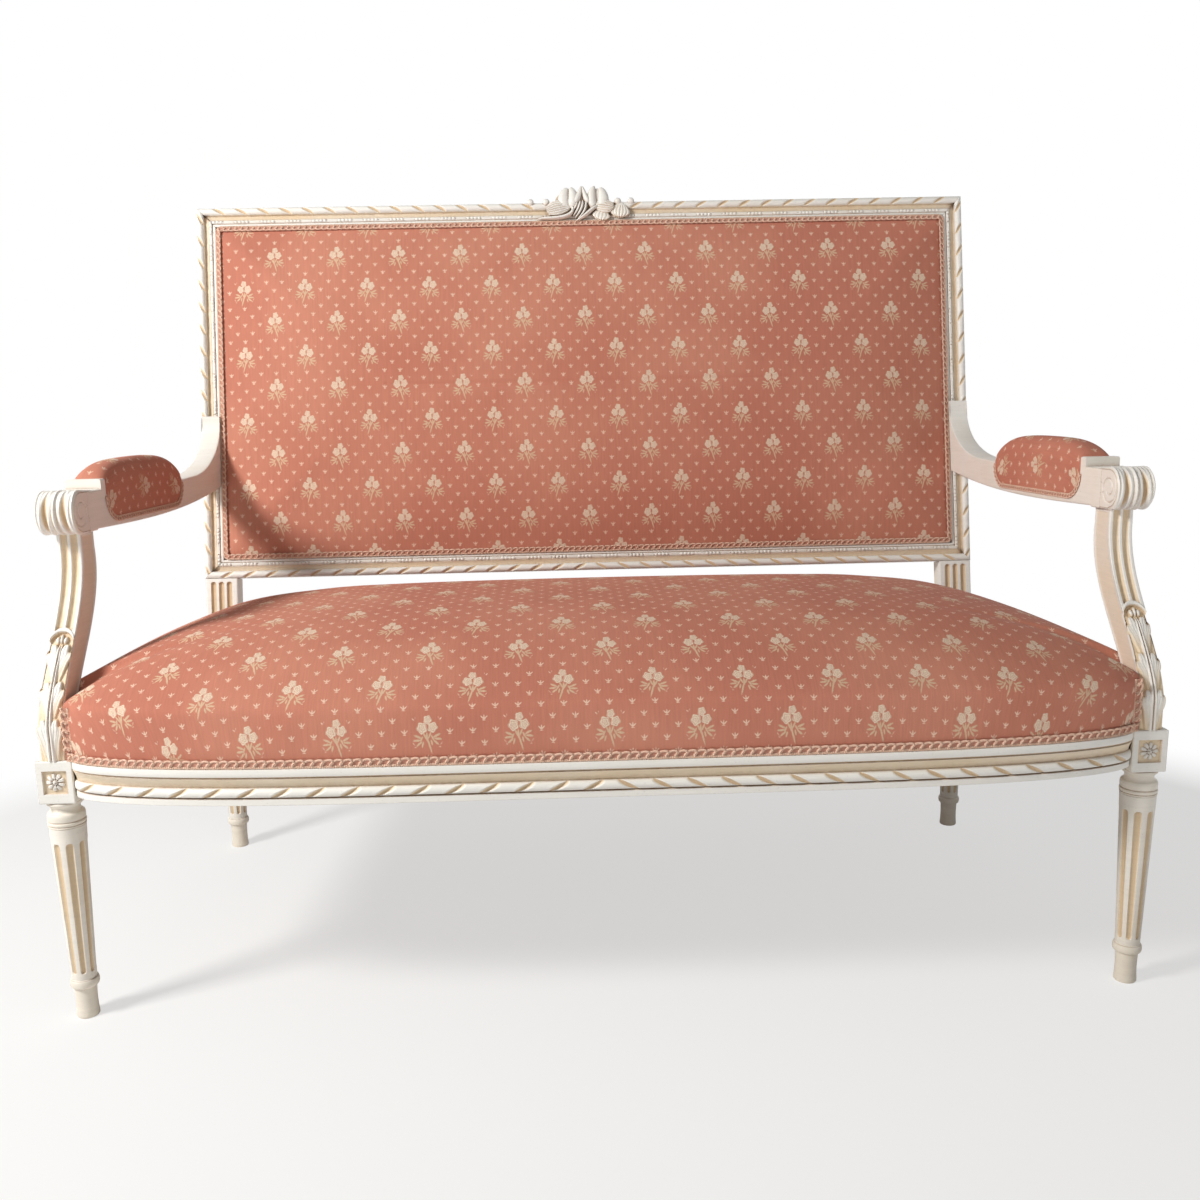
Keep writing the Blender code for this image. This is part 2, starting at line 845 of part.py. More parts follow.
def arm_support(material):
    """The S-shaped support with two flutes in its upper front, tenoned at both ends."""
    low = rail_top + joint_gap
    high = arm_underside - joint_gap
    foot = box(*support_tenon_box[:2], (support_tenon_box[2][0], low + tenon_root))
    head = box(*arm_support_tenon[:2], (high - tenon_root, arm_support_tenon[2][1]))
    mesh = combined(support_shaft(), added=[foot, head], removed=[support_flutes()])
    place_pair("arm_support", mesh, material)


def arm_middle_x(y):
    """The arm's centre line in plan: straight from the scroll to the stile."""
    front_x = support_x + arm_front_shift
    share = (y - arm_front_y) / (arm_rear_y - arm_front_y)
    return front_x + (arm_rear_x - front_x) * share


def arm_half_width(y):
    share = min(max((y - arm_front_y) / (arm_rear_y - arm_front_y), 0.0), 1.0)
    return (arm_width + (arm_rear_width - arm_width) * share ** 2) / 2


def stile_face_y(z):
    """The stile's foremost line at a height, which the arm's rear end butts against."""
    return back_foot_y + math.tan(back_rake) * (z - back_foot_z) - joint_gap * 1.5


def arm_outline():
    """The arm seen from its side, as (y, z) points from the scroll's foot round to its top."""
    points = [(arm_front_y, arm_underside - arm_seat_drop)]
    points.append((arm_front_y + support_depth, arm_underside - arm_seat_drop))
    steps = 6
    start = arm_front_y + support_depth + arm_seat_step
    end = stile_face_y(arm_rear_underside)
    for i in range(steps + 1):
        share = i / steps
        y = start + (end - start) * share
        rise = (arm_rear_underside - arm_underside) * share ** 3
        points.append((y, arm_underside + rise - arm_sag * math.sin(math.pi * share)))
    points.append((stile_face_y(arm_rear_top), arm_rear_top))
    sweep_y = stile_face_y(arm_rear_top) - arm_sweep_y
    sweep_z = arm_rear_top - pad_bed - arm_sweep_foot
    sweep_steps = 8
    for i in range(1, sweep_steps + 1):
        angle = math.pi / 2 * i / sweep_steps
        y = stile_face_y(arm_rear_top) - arm_sweep_edge - sweep_y * (1 - math.cos(angle)) ** 0.9
        z = arm_rear_top - sweep_z * math.sin(angle) ** 0.8
        points.append((y, z))
    points.append((pad_rear_y, pad_bed))
    points.append((pad_front_y, pad_bed))
    points.append((pad_front_y, arm_top + stop_height))
    points.append((stop_front_y, arm_top + stop_height))
    points.append((stop_front_y, arm_top))
    points.append((arm_front_y, arm_top))
    return points


def skirt_outline(inset=0.0):
    """The pad's side below the bed, as (y, z) points: a strip with round lower corners."""
    radius = pad_corner_radius
    front = pad_front_y + inset
    rear = pad_rear_y - inset
    low = pad_skirt + inset
    points = []
    for i in range(pad_corner_steps + 1):
        angle = math.pi / 2 * i / pad_corner_steps
        points.append((front + radius * (1 - math.cos(angle)), low + radius * (1 - math.sin(angle))))
    for i in range(pad_corner_steps, -1, -1):
        angle = math.pi / 2 * i / pad_corner_steps
        points.append((rear - radius * (1 - math.cos(angle)), low + radius * (1 - math.sin(angle))))
    return points


def in_arm_bed(place):
    """Whether a point of the arm's outline lies at the pad's bed, whose edges stay sharp."""
    return place.y > stop_front_y - 0.001 and place.y < pad_rear_y + 0.001 and place.z > pad_skirt


def eased(mesh, kept_sharp):
    """The arm's side edges with a small bevel, apart from those that kept_sharp picks."""
    body = helper("arm_body", mesh)
    weights = mesh.attributes.new("bevel_weight_edge", "FLOAT", "EDGE")
    for edge in mesh.edges:
        start, end = [mesh.vertices[i].co for i in edge.vertices]
        middle = arm_middle_x(start.y)
        same_side = (start.x > middle) == (end.x > arm_middle_x(end.y))
        if same_side and not kept_sharp(start) and not kept_sharp(end):
            weights.data[edge.index].value = 1.0
    rounding = body.modifiers.new("edges", "BEVEL")
    rounding.width = arm_edge_bevel
    rounding.segments = 1
    rounding.limit_method = "WEIGHT"
    return taken(body)


def arm(material):
    """The arm: scroll, stop, bed for the pad and the rear end that sweeps up the stile."""
    rings = []
    for side in (-1, 1):
        rings.append([(arm_middle_x(y) + side * arm_half_width(y), y, z) for y, z in arm_outline()])
    body = eased(loft(rings), in_arm_bed)
    scroll = turned(
        [
            (0.0, scroll_width / 2),
            (scroll_radius * 0.35, scroll_width / 2 + scroll_eye_rise),
            (scroll_radius * 0.50, scroll_width / 2 - scroll_hollow),
            (scroll_radius * 0.82, scroll_width / 2),
            (scroll_radius, scroll_width / 2 - scroll_edge_round),
            (scroll_radius, -scroll_width / 2 + scroll_edge_round),
            (scroll_radius * 0.82, -scroll_width / 2),
            (scroll_radius * 0.50, -scroll_width / 2 + scroll_hollow),
            (scroll_radius * 0.35, -scroll_width / 2 - scroll_eye_rise),
            (0.0, -scroll_width / 2),
        ],
        scroll_facets,
    )
    scroll_middle = Matrix.Translation((arm_middle_x(arm_front_y), arm_front_y, scroll_height))
    moved(scroll, scroll_middle @ Matrix.Rotation(math.pi / 2, 4, "Y"))
    tenon_start = stile_face_y(arm_tenon_box[2][0]) - arm_seat_step
    tenon = box(arm_tenon_box[0], (tenon_start, arm_tenon_box[1][1]), arm_tenon_box[2])
    beds = []
    high = pad_bed + cutter_overshoot
    top = [(pad_rear_y + joint_gap, high), (pad_front_y - joint_gap, high)]
    for side in (-1, 1):
        inner = []
        outer = []
        for y, z in skirt_outline(-joint_gap) + top:
            middle = arm_middle_x(y)
            inner.append((middle + side * (arm_half_width(y) - pad_skirt_depth), y, z))
            outer.append((middle + side * (arm_half_width(y) + cutter_overshoot), y, z))
        beds.append(loft([inner, outer]))
    rest_y = (support_front_y(arm_underside), support_back_y(arm_underside))
    rest_x = (support_x - arm_width, support_x + arm_width)
    rest = box(rest_x, grown(rest_y, joint_gap * 3), (arm_underside - cutter_overshoot, arm_underside))
    mesh = combined(body, added=[scroll, tenon], removed=[joined(beds), rest, socket(arm_support_tenon)])
    place_pair("arm", mesh, material)


def arm_pad(material, trim):
    """The stuffed pad: a crowned top whose skirts cover the sides of the arm, and its gimps."""
    length = pad_rear_y - pad_front_y
    edge = skirt_outline(joint_gap)
    half_way = len(edge) // 2
    middle_edge = [(pad_front_y + length * share, pad_skirt + joint_gap) for share in (0.30, 0.50, 0.70)]
    rings = []
    for y, low in edge[:half_way] + middle_edge + edge[half_way:]:
        share = (y - pad_front_y) / length
        arch = 1 - abs(2 * share - 1) ** 4
        end = pad_bed + pad_end_height
        top = end + (pad_top - end) * arch ** 0.7
        middle = arm_middle_x(y)
        half = arm_half_width(y)
        inner = half - pad_skirt_depth + joint_gap
        bed = pad_bed + joint_gap
        shoulder = bed + (top - bed) * 0.30
        right = [
            (inner, low),
            (half, low),
            (half + 0.0010, (low + shoulder) / 2),
            (half + 0.0006, shoulder),
            (half * 0.86, bed + (top - bed) * 0.72),
            (half * 0.52, bed + (top - bed) * 0.95),
        ]
        ring = [(inner, bed)] + right + [(0.0, top)]
        ring += [(-x, z) for x, z in reversed(right)] + [(-inner, bed)]
        rings.append([(middle + x, y, z) for x, z in ring])
    place_pair("arm_pad", loft(rings), material)
    for name, side in (("outer", 1), ("inner", -1)):
        route = []
        for y, z in skirt_outline(-0.001):
            x = arm_middle_x(y) + side * (arm_half_width(y) + arm_gimp_radius + joint_gap)
            route.append((x, y, z))
        place_pair("arm_pad_gimp_" + name, tube(route, arm_gimp_radius, 1), trim, smooth=80.0)


def brace_corners(corner):
    """Plan of a corner brace at +X: two points on one rail's face, two on the side rail's."""
    if corner == "front":
        reach = rail_reach
        rail_y = [rail_back_y(reach - along) + joint_gap * 2 for along in (brace_inner, brace_outer)]
        side_y = [front_block_half + along for along in (brace_outer, brace_inner)]
    else:
        reach = rear_block_inner
        rail_y = [back_rail_faces()[0] - joint_gap] * 2
        side_y = [rear_block_front - along for along in (brace_outer, brace_inner)]
    on_rail = [(reach - along, y) for along, y in zip((brace_inner, brace_outer), rail_y)]
    return on_rail + [(side_inner_x(y) - joint_gap * 1.5, y) for y in side_y]


def brace_z():
    top = rail_top - brace_drop
    return (top - brace_height, top)


def screw_places():
    """Each brace screw at +X as (corner, rail it enters, head place, direction in plan)."""
    places = []
    for corner in ("front", "rear"):
        a, b, c, d = [Vector((x, y)) for x, y in brace_corners(corner)]
        toward_rail = Vector((0, -1)) if corner == "front" else Vector((0, 1))
        rail = "front" if corner == "front" else "back"
        on_rail = (a * 0.45 + b * 0.55) - toward_rail * brace_screw_depth
        on_side = (c * 0.55 + d * 0.45) - Vector((1, 0)) * brace_screw_depth
        places.append((corner, rail, on_rail, toward_rail))
        places.append((corner, "side", on_side, Vector((1, 0))))
    return places


def screw_shape(clearance=0.0, pocket=0.0):
    """A wood screw lying along +X with its head seat at 0, or the hole that takes it."""
    head = screw_head_radius + clearance
    shank = screw_shank_radius + clearance
    profile = [
        (0.0, screw_head_height + pocket + clearance),
        (head, screw_head_height + pocket + clearance),
        (head, -clearance),
        (shank, -clearance),
        (shank, -screw_length * 0.80),
        (shank * 0.35, -screw_length - clearance),
        (0.0, -screw_length - clearance),
    ]
    return moved(turned(profile, screw_facets), Matrix.Rotation(-math.pi / 2, 4, "Y"))


def screw_matrix(head, direction):
    height = sum(brace_z()) / 2
    turn = math.atan2(direction.y, direction.x)
    return Matrix.Translation((head.x, head.y, height)) @ Matrix.Rotation(turn, 4, "Z")


def brace_screws(rail):
    """The screw holes that a rail or a corner brace needs, as cutters."""
    holes = []
    for corner, into, head, direction in screw_places():
        if rail not in (into, corner + "_brace"):
            continue
        hole = moved(screw_shape(joint_gap, 0.06), screw_matrix(head, direction))
        holes.append(hole)
        if rail in ("front", "back"):
            holes.append(moved(hole.copy(), Matrix.Scale(-1.0, 4, (1, 0, 0))))
    return [joined(holes)]


def corner_braces(wood, steel):
    """Four glued braces under the seat, each held by two screws."""
    low, high = brace_z()
    for corner in ("front", "rear"):
        plan = brace_corners(corner)
        body = loft([[(x, y, low) for x, y in plan], [(x, y, high) for x, y in plan]])
        place_pair("corner_brace_" + corner, combined(body, removed=brace_screws(corner + "_brace")), wood)
    for corner, into, head, direction in screw_places():
        mesh = moved(screw_shape(), screw_matrix(head, direction))
        place_pair(f"brace_screw_{corner}_{into}", mesh, steel)


def lattice(columns, rows):
    """Crossed bands as one flat net: columns and rows hold the (low, high) span of each band."""
    xs = sorted({edge for span in columns["bands"] for edge in span} | set(columns["ends"]))
    ys = sorted({edge for span in rows["bands"] for edge in span} | set(rows["ends"]))
    bm = bmesh.new()
    verts = {}

    def corner(x, y):
        if (x, y) not in verts:
            verts[x, y] = bm.verts.new((x, y, 0.0))
        return verts[x, y]

    for x0, x1 in zip(xs, xs[1:]):
        for y0, y1 in zip(ys, ys[1:]):
            across = any(low <= x0 and x1 <= high for low, high in columns["bands"])
            along = any(low <= y0 and y1 <= high for low, high in rows["bands"])
            if across or along:
                bm.faces.new((corner(x0, y0), corner(x1, y0), corner(x1, y1), corner(x0, y1)))
    return finished_mesh(bm, "lattice")


def bands(count, pitch, first, width):
    """Spans of evenly spaced bands; the first one's middle is given."""
    return [(first + pitch * i - width / 2, first + pitch * i + width / 2) for i in range(count)]


def thicken(piece, thickness, offset=0.0):
    shell = piece.modifiers.new("thickness", "SOLIDIFY")
    shell.thickness = thickness
    shell.offset = offset
    shell.use_even_offset = True
    return piece


def web_top():
    return rail_foot - joint_gap


def seat_webbing(material):
    """Crossed webbing under the seat rails, its long bands reaching to the splayed side rails."""
    long_bands = bands(web_count_long, web_pitch_long, -web_pitch_long * (web_count_long - 1) / 2, web_width)
    cross_bands = bands(web_count_cross, web_pitch_cross, web_first_cross, web_width)
    reach = rail_reach - web_overlap
    columns = {"bands": long_bands, "ends": (-reach, reach)}
    rows = {"bands": cross_bands, "ends": (rail_front_y(0.5) + 0.014, leg_depth + 0.004)}
    mesh = lattice(columns, rows)
    for vert in mesh.vertices:
        if abs(abs(vert.co.x) - reach) < 1e-6:
            vert.co.x = math.copysign(side_face_x(vert.co.y) - side_rail_thickness * 0.45, vert.co.x)
    thicken(place("seat_webbing", mesh, material, (0, 0, web_top() - web_thickness / 2)), web_thickness)


def spring_mesh():
    """An hourglass spring: a helix whose radius narrows to its waist."""
    count = round(spring_turns * spring_points)
    route = []
    for i in range(count + 1):
        share = i / count
        angle = 2 * math.pi * spring_turns * share
        radius = spring_waist + (spring_radius - spring_waist) * (2 * share - 1) ** 2
        height = spring_wire + (spring_height - 2 * spring_wire) * share
        route.append((radius * math.cos(angle), radius * math.sin(angle), height))
    return tube(route, spring_wire, 1)


def seat_springs(material):
    """Two rows of springs that stand on the crossings of the webbing."""
    mesh = spring_mesh()
    number = 1
    for row in (0, web_count_cross - 1):
        for column in range(spring_columns):
            x = spring_pitch * (column - (spring_columns - 1) / 2)
            y = web_first_cross + web_pitch_cross * row
            place(f"seat_spring_{number}", mesh, material, (x, y, web_top() + joint_gap), smooth=60.0)
            number += 1


def seat_outline(z, setback, bulge=0.0, inset=0.0):
    """The seat's edge in plan at +X, from the front middle round to the rear middle."""
    gap = joint_gap * 2 + inset
    corner_x = support_x - support_width / 2 - gap - 0.0002
    notch_y = max(support_back_y(z) + gap + inset, front_block_half)
    post_x = back_half_width - post_width - gap
    post_y = rear_block_front - 0.002 - inset
    rear_y = seat_rear_y - inset
    points = []
    for i in range(seat_front_steps + 1):
        x = corner_x * math.sin(math.pi / 2 * i / seat_front_steps)
        edge_y = rail_front_y(min(x, rail_reach - 0.004))
        points.append((x, edge_y + setback + inset * bow_end_ease - bulge))
    points.append((corner_x, notch_y))
    side_y = [notch_y + (post_y - notch_y) * share for share in (0.0, 0.33, 0.67, 1.0)]
    points += [(side_face_x(y) - side_setback - setback + bulge * 0.6, y) for y in side_y]
    points.append((post_x, post_y))
    points.append((post_x, rear_y))
    points += [(post_x * share, rear_y) for share in (0.75, 0.5, 0.25, 0.0)]
    return points


def whole_outline(half, z):
    """The +X half of an outline with its mirror image, as a closed ring at one height."""
    ring = [(x, y, z) for x, y in half]
    return ring + [(-x, y, z) for x, y, z in reversed(ring[1:-1])]


def drawn_in(ring, share, z):
    """A ring pulled toward the seat's spine by a share, and rounder the further in it lies."""
    made = []
    half_x = max(x for x, y, _ in ring)
    half_y = (max(y for x, y, _ in ring) - min(y for x, y, _ in ring)) / 2
    power = 2 / seat_round_power
    for x, y, _ in ring:
        spine = min(max(x, -seat_spine_half), seat_spine_half)
        sharp_x = spine + (x - spine) * share
        sharp_y = (y - seat_spine_y) * share
        turn = math.atan2((y - seat_spine_y) / half_y, x / half_x)
        cosine = math.cos(turn)
        sine = math.sin(turn)
        round_x = share * half_x * math.copysign(abs(cosine) ** power, cosine)
        round_y = share * half_y * math.copysign(abs(sine) ** power, sine)
        blend_x = sharp_x * share + round_x * (1 - share)
        blend_y = sharp_y * share + round_y * (1 - share)
        made.append((blend_x, seat_spine_y + blend_y, z))
    return made


def seat_rings(inward=0.0, shares=(0.98, 0.93, 0.83, 0.65, 0.40, 0.12)):
    """The stuffed seat from the rail's top up its walls and over its crown."""
    low = rail_top + joint_gap
    wall = low + seat_wall_height - inward
    setback = cover_setback + inward
    levels = ((0.0, 0.3), (0.30, 0.8), (0.70, 1.0), (1.0, 0.6))
    rings = []
    for share, bulge in levels:
        z = low + (wall - low) * share
        rings.append(whole_outline(seat_outline(z, setback, cover_bulge * bulge, inward), z))
    edge = rings[-1]
    for share in shares:
        z = wall + seat_crown * (1 - share ** seat_crown_power)
        rings.append(drawn_in(edge, share, z))
    return rings


def open_surface(rings):
    """An open skin through the rings, closed only at its last one."""
    bm = bmesh.new()
    rows = [[bm.verts.new(point) for point in ring] for ring in rings]
    for near, far in zip(rows, rows[1:]):
        for i in range(len(near)):
            j = (i + 1) % len(near)
            bm.faces.new((near[i], near[j], far[j], far[i]))
    bm.faces.new(rows[-1])
    return finished_mesh(bm, "skin")


def seat_cover(material):
    """The fabric over the seat: a crowned skin cut round the arm supports and rear posts."""
    skin = thicken(helper("seat_skin", open_surface(seat_rings())), cover_thickness, -1.0)
    place("seat_cover", combined(taken(skin), removed=both_supports()), material, smooth=60.0)


def both_supports(clearance=0.0):
    """Cutters that clear the two arm supports."""
    right = support_shaft(joint_gap * 2 + clearance)
    return [right, moved(right.copy(), Matrix.Scale(-1.0, 4, (1, 0, 0)))]


def canvas_z():
    return web_top() + joint_gap + spring_height + joint_gap


def seat_inner(hair, canvas):
    """The canvas over the springs, and the stuffing over the canvas with its edge on the rails."""
    low = canvas_z()
    plan = stuffing_hollow(joint_gap * 2)
    plate = loft([[(x, y, z) for x, y in plan] for z in (low, low + canvas_thickness)])
    place("spring_canvas", plate, canvas)
    inward = cover_thickness + stuffing_ease
    body = loft(seat_rings(inward))
    hollow = stuffing_hollow(0.0)
    cavity = loft([[(x, y, z) for x, y in hollow] for z in (rail_foot, low + canvas_thickness + joint_gap)])
    place("seat_stuffing", combined(body, removed=[cavity] + both_supports(inward)), hair, smooth=60.0)


def stuffing_hollow(inset):
    """Plan of the space for the springs, inside the seat rails and the corner blocks."""
    front = rail_back_y(0.0) + hollow_margin + inset
    corner = front_block_half + hollow_margin / 2 + inset
    half_front = rail_reach - hollow_side - inset
    half_rear = rear_block_inner - hollow_margin - inset
    rear = back_rail_faces()[0] - hollow_margin / 2 - inset
    half = [(hollow_straight, front), (half_front, corner), (half_rear, rear)]
    return half + [(-x, y) for x, y in reversed(half)]


def ribbon(route, normals, low, high, start, thickness):
    """An upright band of trim along a plan route, standing off it by start."""
    rings = []
    for (x, y), (nx, ny) in zip(route, normals):
        near = (x + nx * start, y + ny * start)
        far = (x + nx * (start + thickness), y + ny * (start + thickness))
        rings.append([(*near, low), (*far, low), (*far, high), (*near, high)])
    return loft(rings)


def route_normals(route, outward):
    """Unit normals of a plan route, turned to the side that outward points to."""
    made = []
    for i in range(len(route)):
        before = Vector(route[max(i - 1, 0)])
        after = Vector(route[min(i + 1, len(route) - 1)])
        along = (after - before).normalized()
        normal = Vector((along.y, -along.x))
        made.append(normal if normal.dot(outward) > 0 else -normal)
    return made


def seat_gimps(material):
    """The woven trim on the seat's lower edge, in front, beside the supports, at the sides and behind."""
    low = rail_top + joint_gap * 2
    high = low + gimp_height
    start = joint_gap * 3 + cover_bulge * 0.6
    outline = seat_outline(low, cover_setback)
    half = outline[:seat_front_steps + 1]
    corner_x, corner_y = half[-1]
    half[-1] = (corner_x - gimp_end_gap, corner_y)
    front = [(-x, y) for x, y in reversed(half[1:])] + half
    mesh = ribbon(front, route_normals(front, Vector((0, -1))), low, high, start, gimp_thickness)
    place("seat_gimp_front", mesh, material)
    y = corner_y - cover_bulge - joint_gap * 3 - gimp_thickness
    upright_z = (high + joint_gap, low + seat_wall_height - gimp_end_gap * 2)
    upright = box((corner_x - gimp_height, corner_x), (y, y + gimp_thickness), upright_z)
    place_pair("seat_gimp_corner", upright, material)
    notch_y = outline[seat_front_steps + 1][1] + gimp_end_gap
    post_y = outline[-6][1] - gimp_end_gap
    sides = [(side_face_x(y) - side_setback - cover_setback, y) for y in (notch_y, post_y)]
    mesh = ribbon(sides, route_normals(sides, Vector((1, 0))), low, high, start, gimp_thickness)
    place_pair("seat_gimp_side", mesh, material)
    reach = rear_block_inner - gimp_end_gap
    back = [(-reach, seat_rear_y), (reach, seat_rear_y)]
    mesh = ribbon(back, route_normals(back, Vector((0, 1))), low, high, joint_gap, gimp_thickness)
    place("seat_gimp_back", mesh, material)


def back_ring(inset, depth, corner=0.010, steps=3, bow=0.0):
    """A rounded rectangle in the raked plane, inset from the fabric's edge."""
    half = back_half_width - moulding_width - inset
    low = moulding_width + inset
    high = back_height - moulding_width - inset
    centres = ((half, low, -90), (half, high, 0), (-half, high, 90), (-half, low, 180))
    ring = []
    for x, z, start in centres:
        cx = x - math.copysign(corner, x)
        cz = z + corner if z == low else z - corner
        for i in range(steps + 1):
            angle = math.radians(start + 90 * i / steps)
            ring.append((cx + corner * math.cos(angle), depth, cz + corner * math.sin(angle)))
    return ring


def back_dome(base, edge_inset, crown, shares):
    """Rings of a padded back: from its edge at depth base, rising forward to its crown."""
    middle_z = back_height / 2
    edge = back_ring(edge_inset, base)
    rings = [edge]
    half_width = back_half_width - moulding_width
    half_height = middle_z - moulding_width
    spine = half_width - half_height
    for share in shares:
        depth = base - crown * (1 - share ** back_crown_power)
        ring = []
        for x, _, z in edge:
            on_spine = min(max(x, -spine), spine)
            ring.append((on_spine + (x - on_spine) * share, depth, middle_z + (z - middle_z) * share))
        rings.append(ring)
    return rings


def back_webbing_net():
    """The back's crossed webbing, flat in the raked plane, its ends tacked on the frame."""
    half = back_half_width - stile_width
    across = 2 * half / back_web_count
    upward = (back_height - 2 * stile_width) / back_web_rows
    columns = {
        "bands": bands(back_web_count, across, across / 2 - half, web_width),
        "ends": (-half - web_overlap, half + web_overlap),
    }
    rows = {
        "bands": bands(back_web_rows, upward, stile_width + upward / 2, web_width),
        "ends": (stile_width - web_overlap, back_height - stile_width + web_overlap),
    }
    return moved(lattice(columns, rows), Matrix.Rotation(math.pi / 2, 4, "X"))


def back_upholstery(fabric, trim, hair, webbing):
    """Webbing, stuffing, cover and gimp of the back, and the cover of its rear face."""
    here = (0, back_foot_y, back_foot_z)
    turn = (-back_rake, 0, 0)
    edge = joint_gap * 2
    web_depth = moulding_depth - core_lap - joint_gap - web_thickness
    net = moved(back_webbing_net(), Matrix.Translation((0, web_depth + web_thickness / 2, 0)))
    thicken(place("back_webbing", net, webbing, here, turn), web_thickness)
    skin = back_dome(inner_fillet_depth, edge, back_crown, (0.97, 0.90, 0.78, 0.60, 0.38, 0.12))
    cover = place("back_cover", open_surface(skin), fabric, here, turn, 60.0)
    thicken(cover, back_cover_thickness, -1.0)
    base = back_ring(edge, web_depth - joint_gap)
    under_cover = inner_fillet_depth + back_cover_thickness + joint_gap
    dome = back_dome(under_cover, edge, back_crown - joint_gap, (0.90, 0.70, 0.42, 0.12))
    place("back_stuffing", loft([base] + dome), hair, here, turn, 60.0)
    outer = moulding_width + edge
    inner = moulding_width + back_gimp_width
    at_edge = inner_fillet_depth - joint_gap
    inward = at_edge - back_gimp_rise
    thick = back_gimp_thickness
    section = [(outer, at_edge), (outer, at_edge - thick), (inner, inward - thick), (inner, inward)]
    place("back_gimp", mitred_frame(section), trim, here, turn)
    outside_back(fabric, trim, here, turn)


def mitred_frame(section):
    """A closed rectangular frame in the raked plane; the section is (inset, depth) points."""
    rings = []
    for x_sign, at_foot in ((-1, True), (1, True), (1, False), (-1, False)):
        ring = []
        for inset, depth in section:
            z = inset if at_foot else back_height - inset
            ring.append((x_sign * (back_half_width - inset), depth, z))
        rings.append(ring)
    return loft(rings, closed=True)


def outside_back(fabric, trim, here, turn):
    """The flat cover tacked on the rear of the back frame, and the trim round it."""
    edge = outside_cover_inset
    half = back_half_width - edge
    low = back_thickness + joint_gap
    high = low + outside_cover_thickness
    panel = box((-half, half), (low, high), (edge, back_height - edge))
    place("outside_back_cover", panel, fabric, here, turn)
    near = high + joint_gap
    far = near + gimp_thickness
    inner = edge + back_gimp_width
    section = [(edge, near), (edge, far), (inner, far), (inner, near)]
    place("outside_back_gimp", mitred_frame(section), trim, here, turn)


def centre_on_origin():
    """Moves the empty so that the settee's box is centred over the origin."""
    bpy.context.view_layer.update()
    graph = bpy.context.evaluated_depsgraph_get()
    low = [math.inf] * 2
    high = [-math.inf] * 2
    for piece in parts.objects:
        solid = piece.evaluated_get(graph)
        mesh = solid.to_mesh()
        for vert in mesh.vertices:
            place_now = solid.matrix_world @ vert.co
            for axis in (0, 1):
                low[axis] = min(low[axis], place_now[axis])
                high[axis] = max(high[axis], place_now[axis])
        solid.to_mesh_clear()
    root.location.x = -(low[0] + high[0]) / 2
    root.location.y = -(low[1] + high[1]) / 2
    print("centred by", round(root.location.x, 5), round(root.location.y, 5))


clear_scene()
bpy.context.scene.collection.children.link(parts)
bpy.context.scene.collection.children.link(cutters)
cutters.hide_render = True
root = bpy.data.objects.new("settee_origin", None)
bpy.context.scene.collection.objects.link(root)

paintwork = paint("ivory_paint", (0.80, 0.75, 0.64), 0.42)
bare_wood = paint("bare_beech", (0.55, 0.38, 0.22), 0.60)
floral = paint("coral_fabric", (0.55, 0.20, 0.14), 0.90)
braid = paint("gimp_braid", (0.72, 0.42, 0.33), 0.85)
jute = paint("jute_webbing", (0.45, 0.33, 0.19), 0.90)
burlap = paint("burlap_canvas", (0.52, 0.40, 0.25), 0.95)
horsehair = paint("horsehair", (0.12, 0.09, 0.07), 0.95)
spring_steel = paint("spring_steel", (0.42, 0.40, 0.37), 0.40, 0.9)
screw_steel = paint("screw_steel", (0.50, 0.49, 0.46), 0.35, 1.0)

front_leg(paintwork)
front_rail(paintwork)
side_rail(paintwork)
back_rail(paintwork)
rear_post(paintwork)
back_rails(paintwork)
arm_support(paintwork)
arm(paintwork)
arm_pad(floral, braid)
corner_braces(bare_wood, screw_steel)
seat_webbing(jute)
seat_springs(spring_steel)
seat_inner(horsehair, burlap)
seat_cover(floral)
seat_gimps(braid)
back_upholstery(floral, braid, horsehair, jute)
centre_on_origin()
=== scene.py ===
import json
import math

import bpy
import numpy as np
from mathutils import Matrix

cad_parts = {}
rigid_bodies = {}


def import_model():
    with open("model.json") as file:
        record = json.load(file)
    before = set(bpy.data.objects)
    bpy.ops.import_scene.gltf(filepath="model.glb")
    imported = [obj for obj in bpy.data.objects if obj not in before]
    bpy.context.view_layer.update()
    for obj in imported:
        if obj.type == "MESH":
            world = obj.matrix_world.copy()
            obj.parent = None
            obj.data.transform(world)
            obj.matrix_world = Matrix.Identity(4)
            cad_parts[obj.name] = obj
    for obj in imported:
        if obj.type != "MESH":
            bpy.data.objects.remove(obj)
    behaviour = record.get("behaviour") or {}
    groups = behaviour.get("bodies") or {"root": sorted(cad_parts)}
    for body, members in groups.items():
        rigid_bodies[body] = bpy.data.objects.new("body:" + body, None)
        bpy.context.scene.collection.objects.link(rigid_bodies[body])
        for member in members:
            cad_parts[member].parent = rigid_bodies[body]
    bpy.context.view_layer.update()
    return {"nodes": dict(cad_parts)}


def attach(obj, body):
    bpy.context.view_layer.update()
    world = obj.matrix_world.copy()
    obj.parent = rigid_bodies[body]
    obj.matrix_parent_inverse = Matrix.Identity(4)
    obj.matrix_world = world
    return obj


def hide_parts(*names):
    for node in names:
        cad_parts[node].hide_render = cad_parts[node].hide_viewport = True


for stray in list(bpy.data.objects):
    bpy.data.objects.remove(stray, do_unlink=True)
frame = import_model()
print("frame loaded")

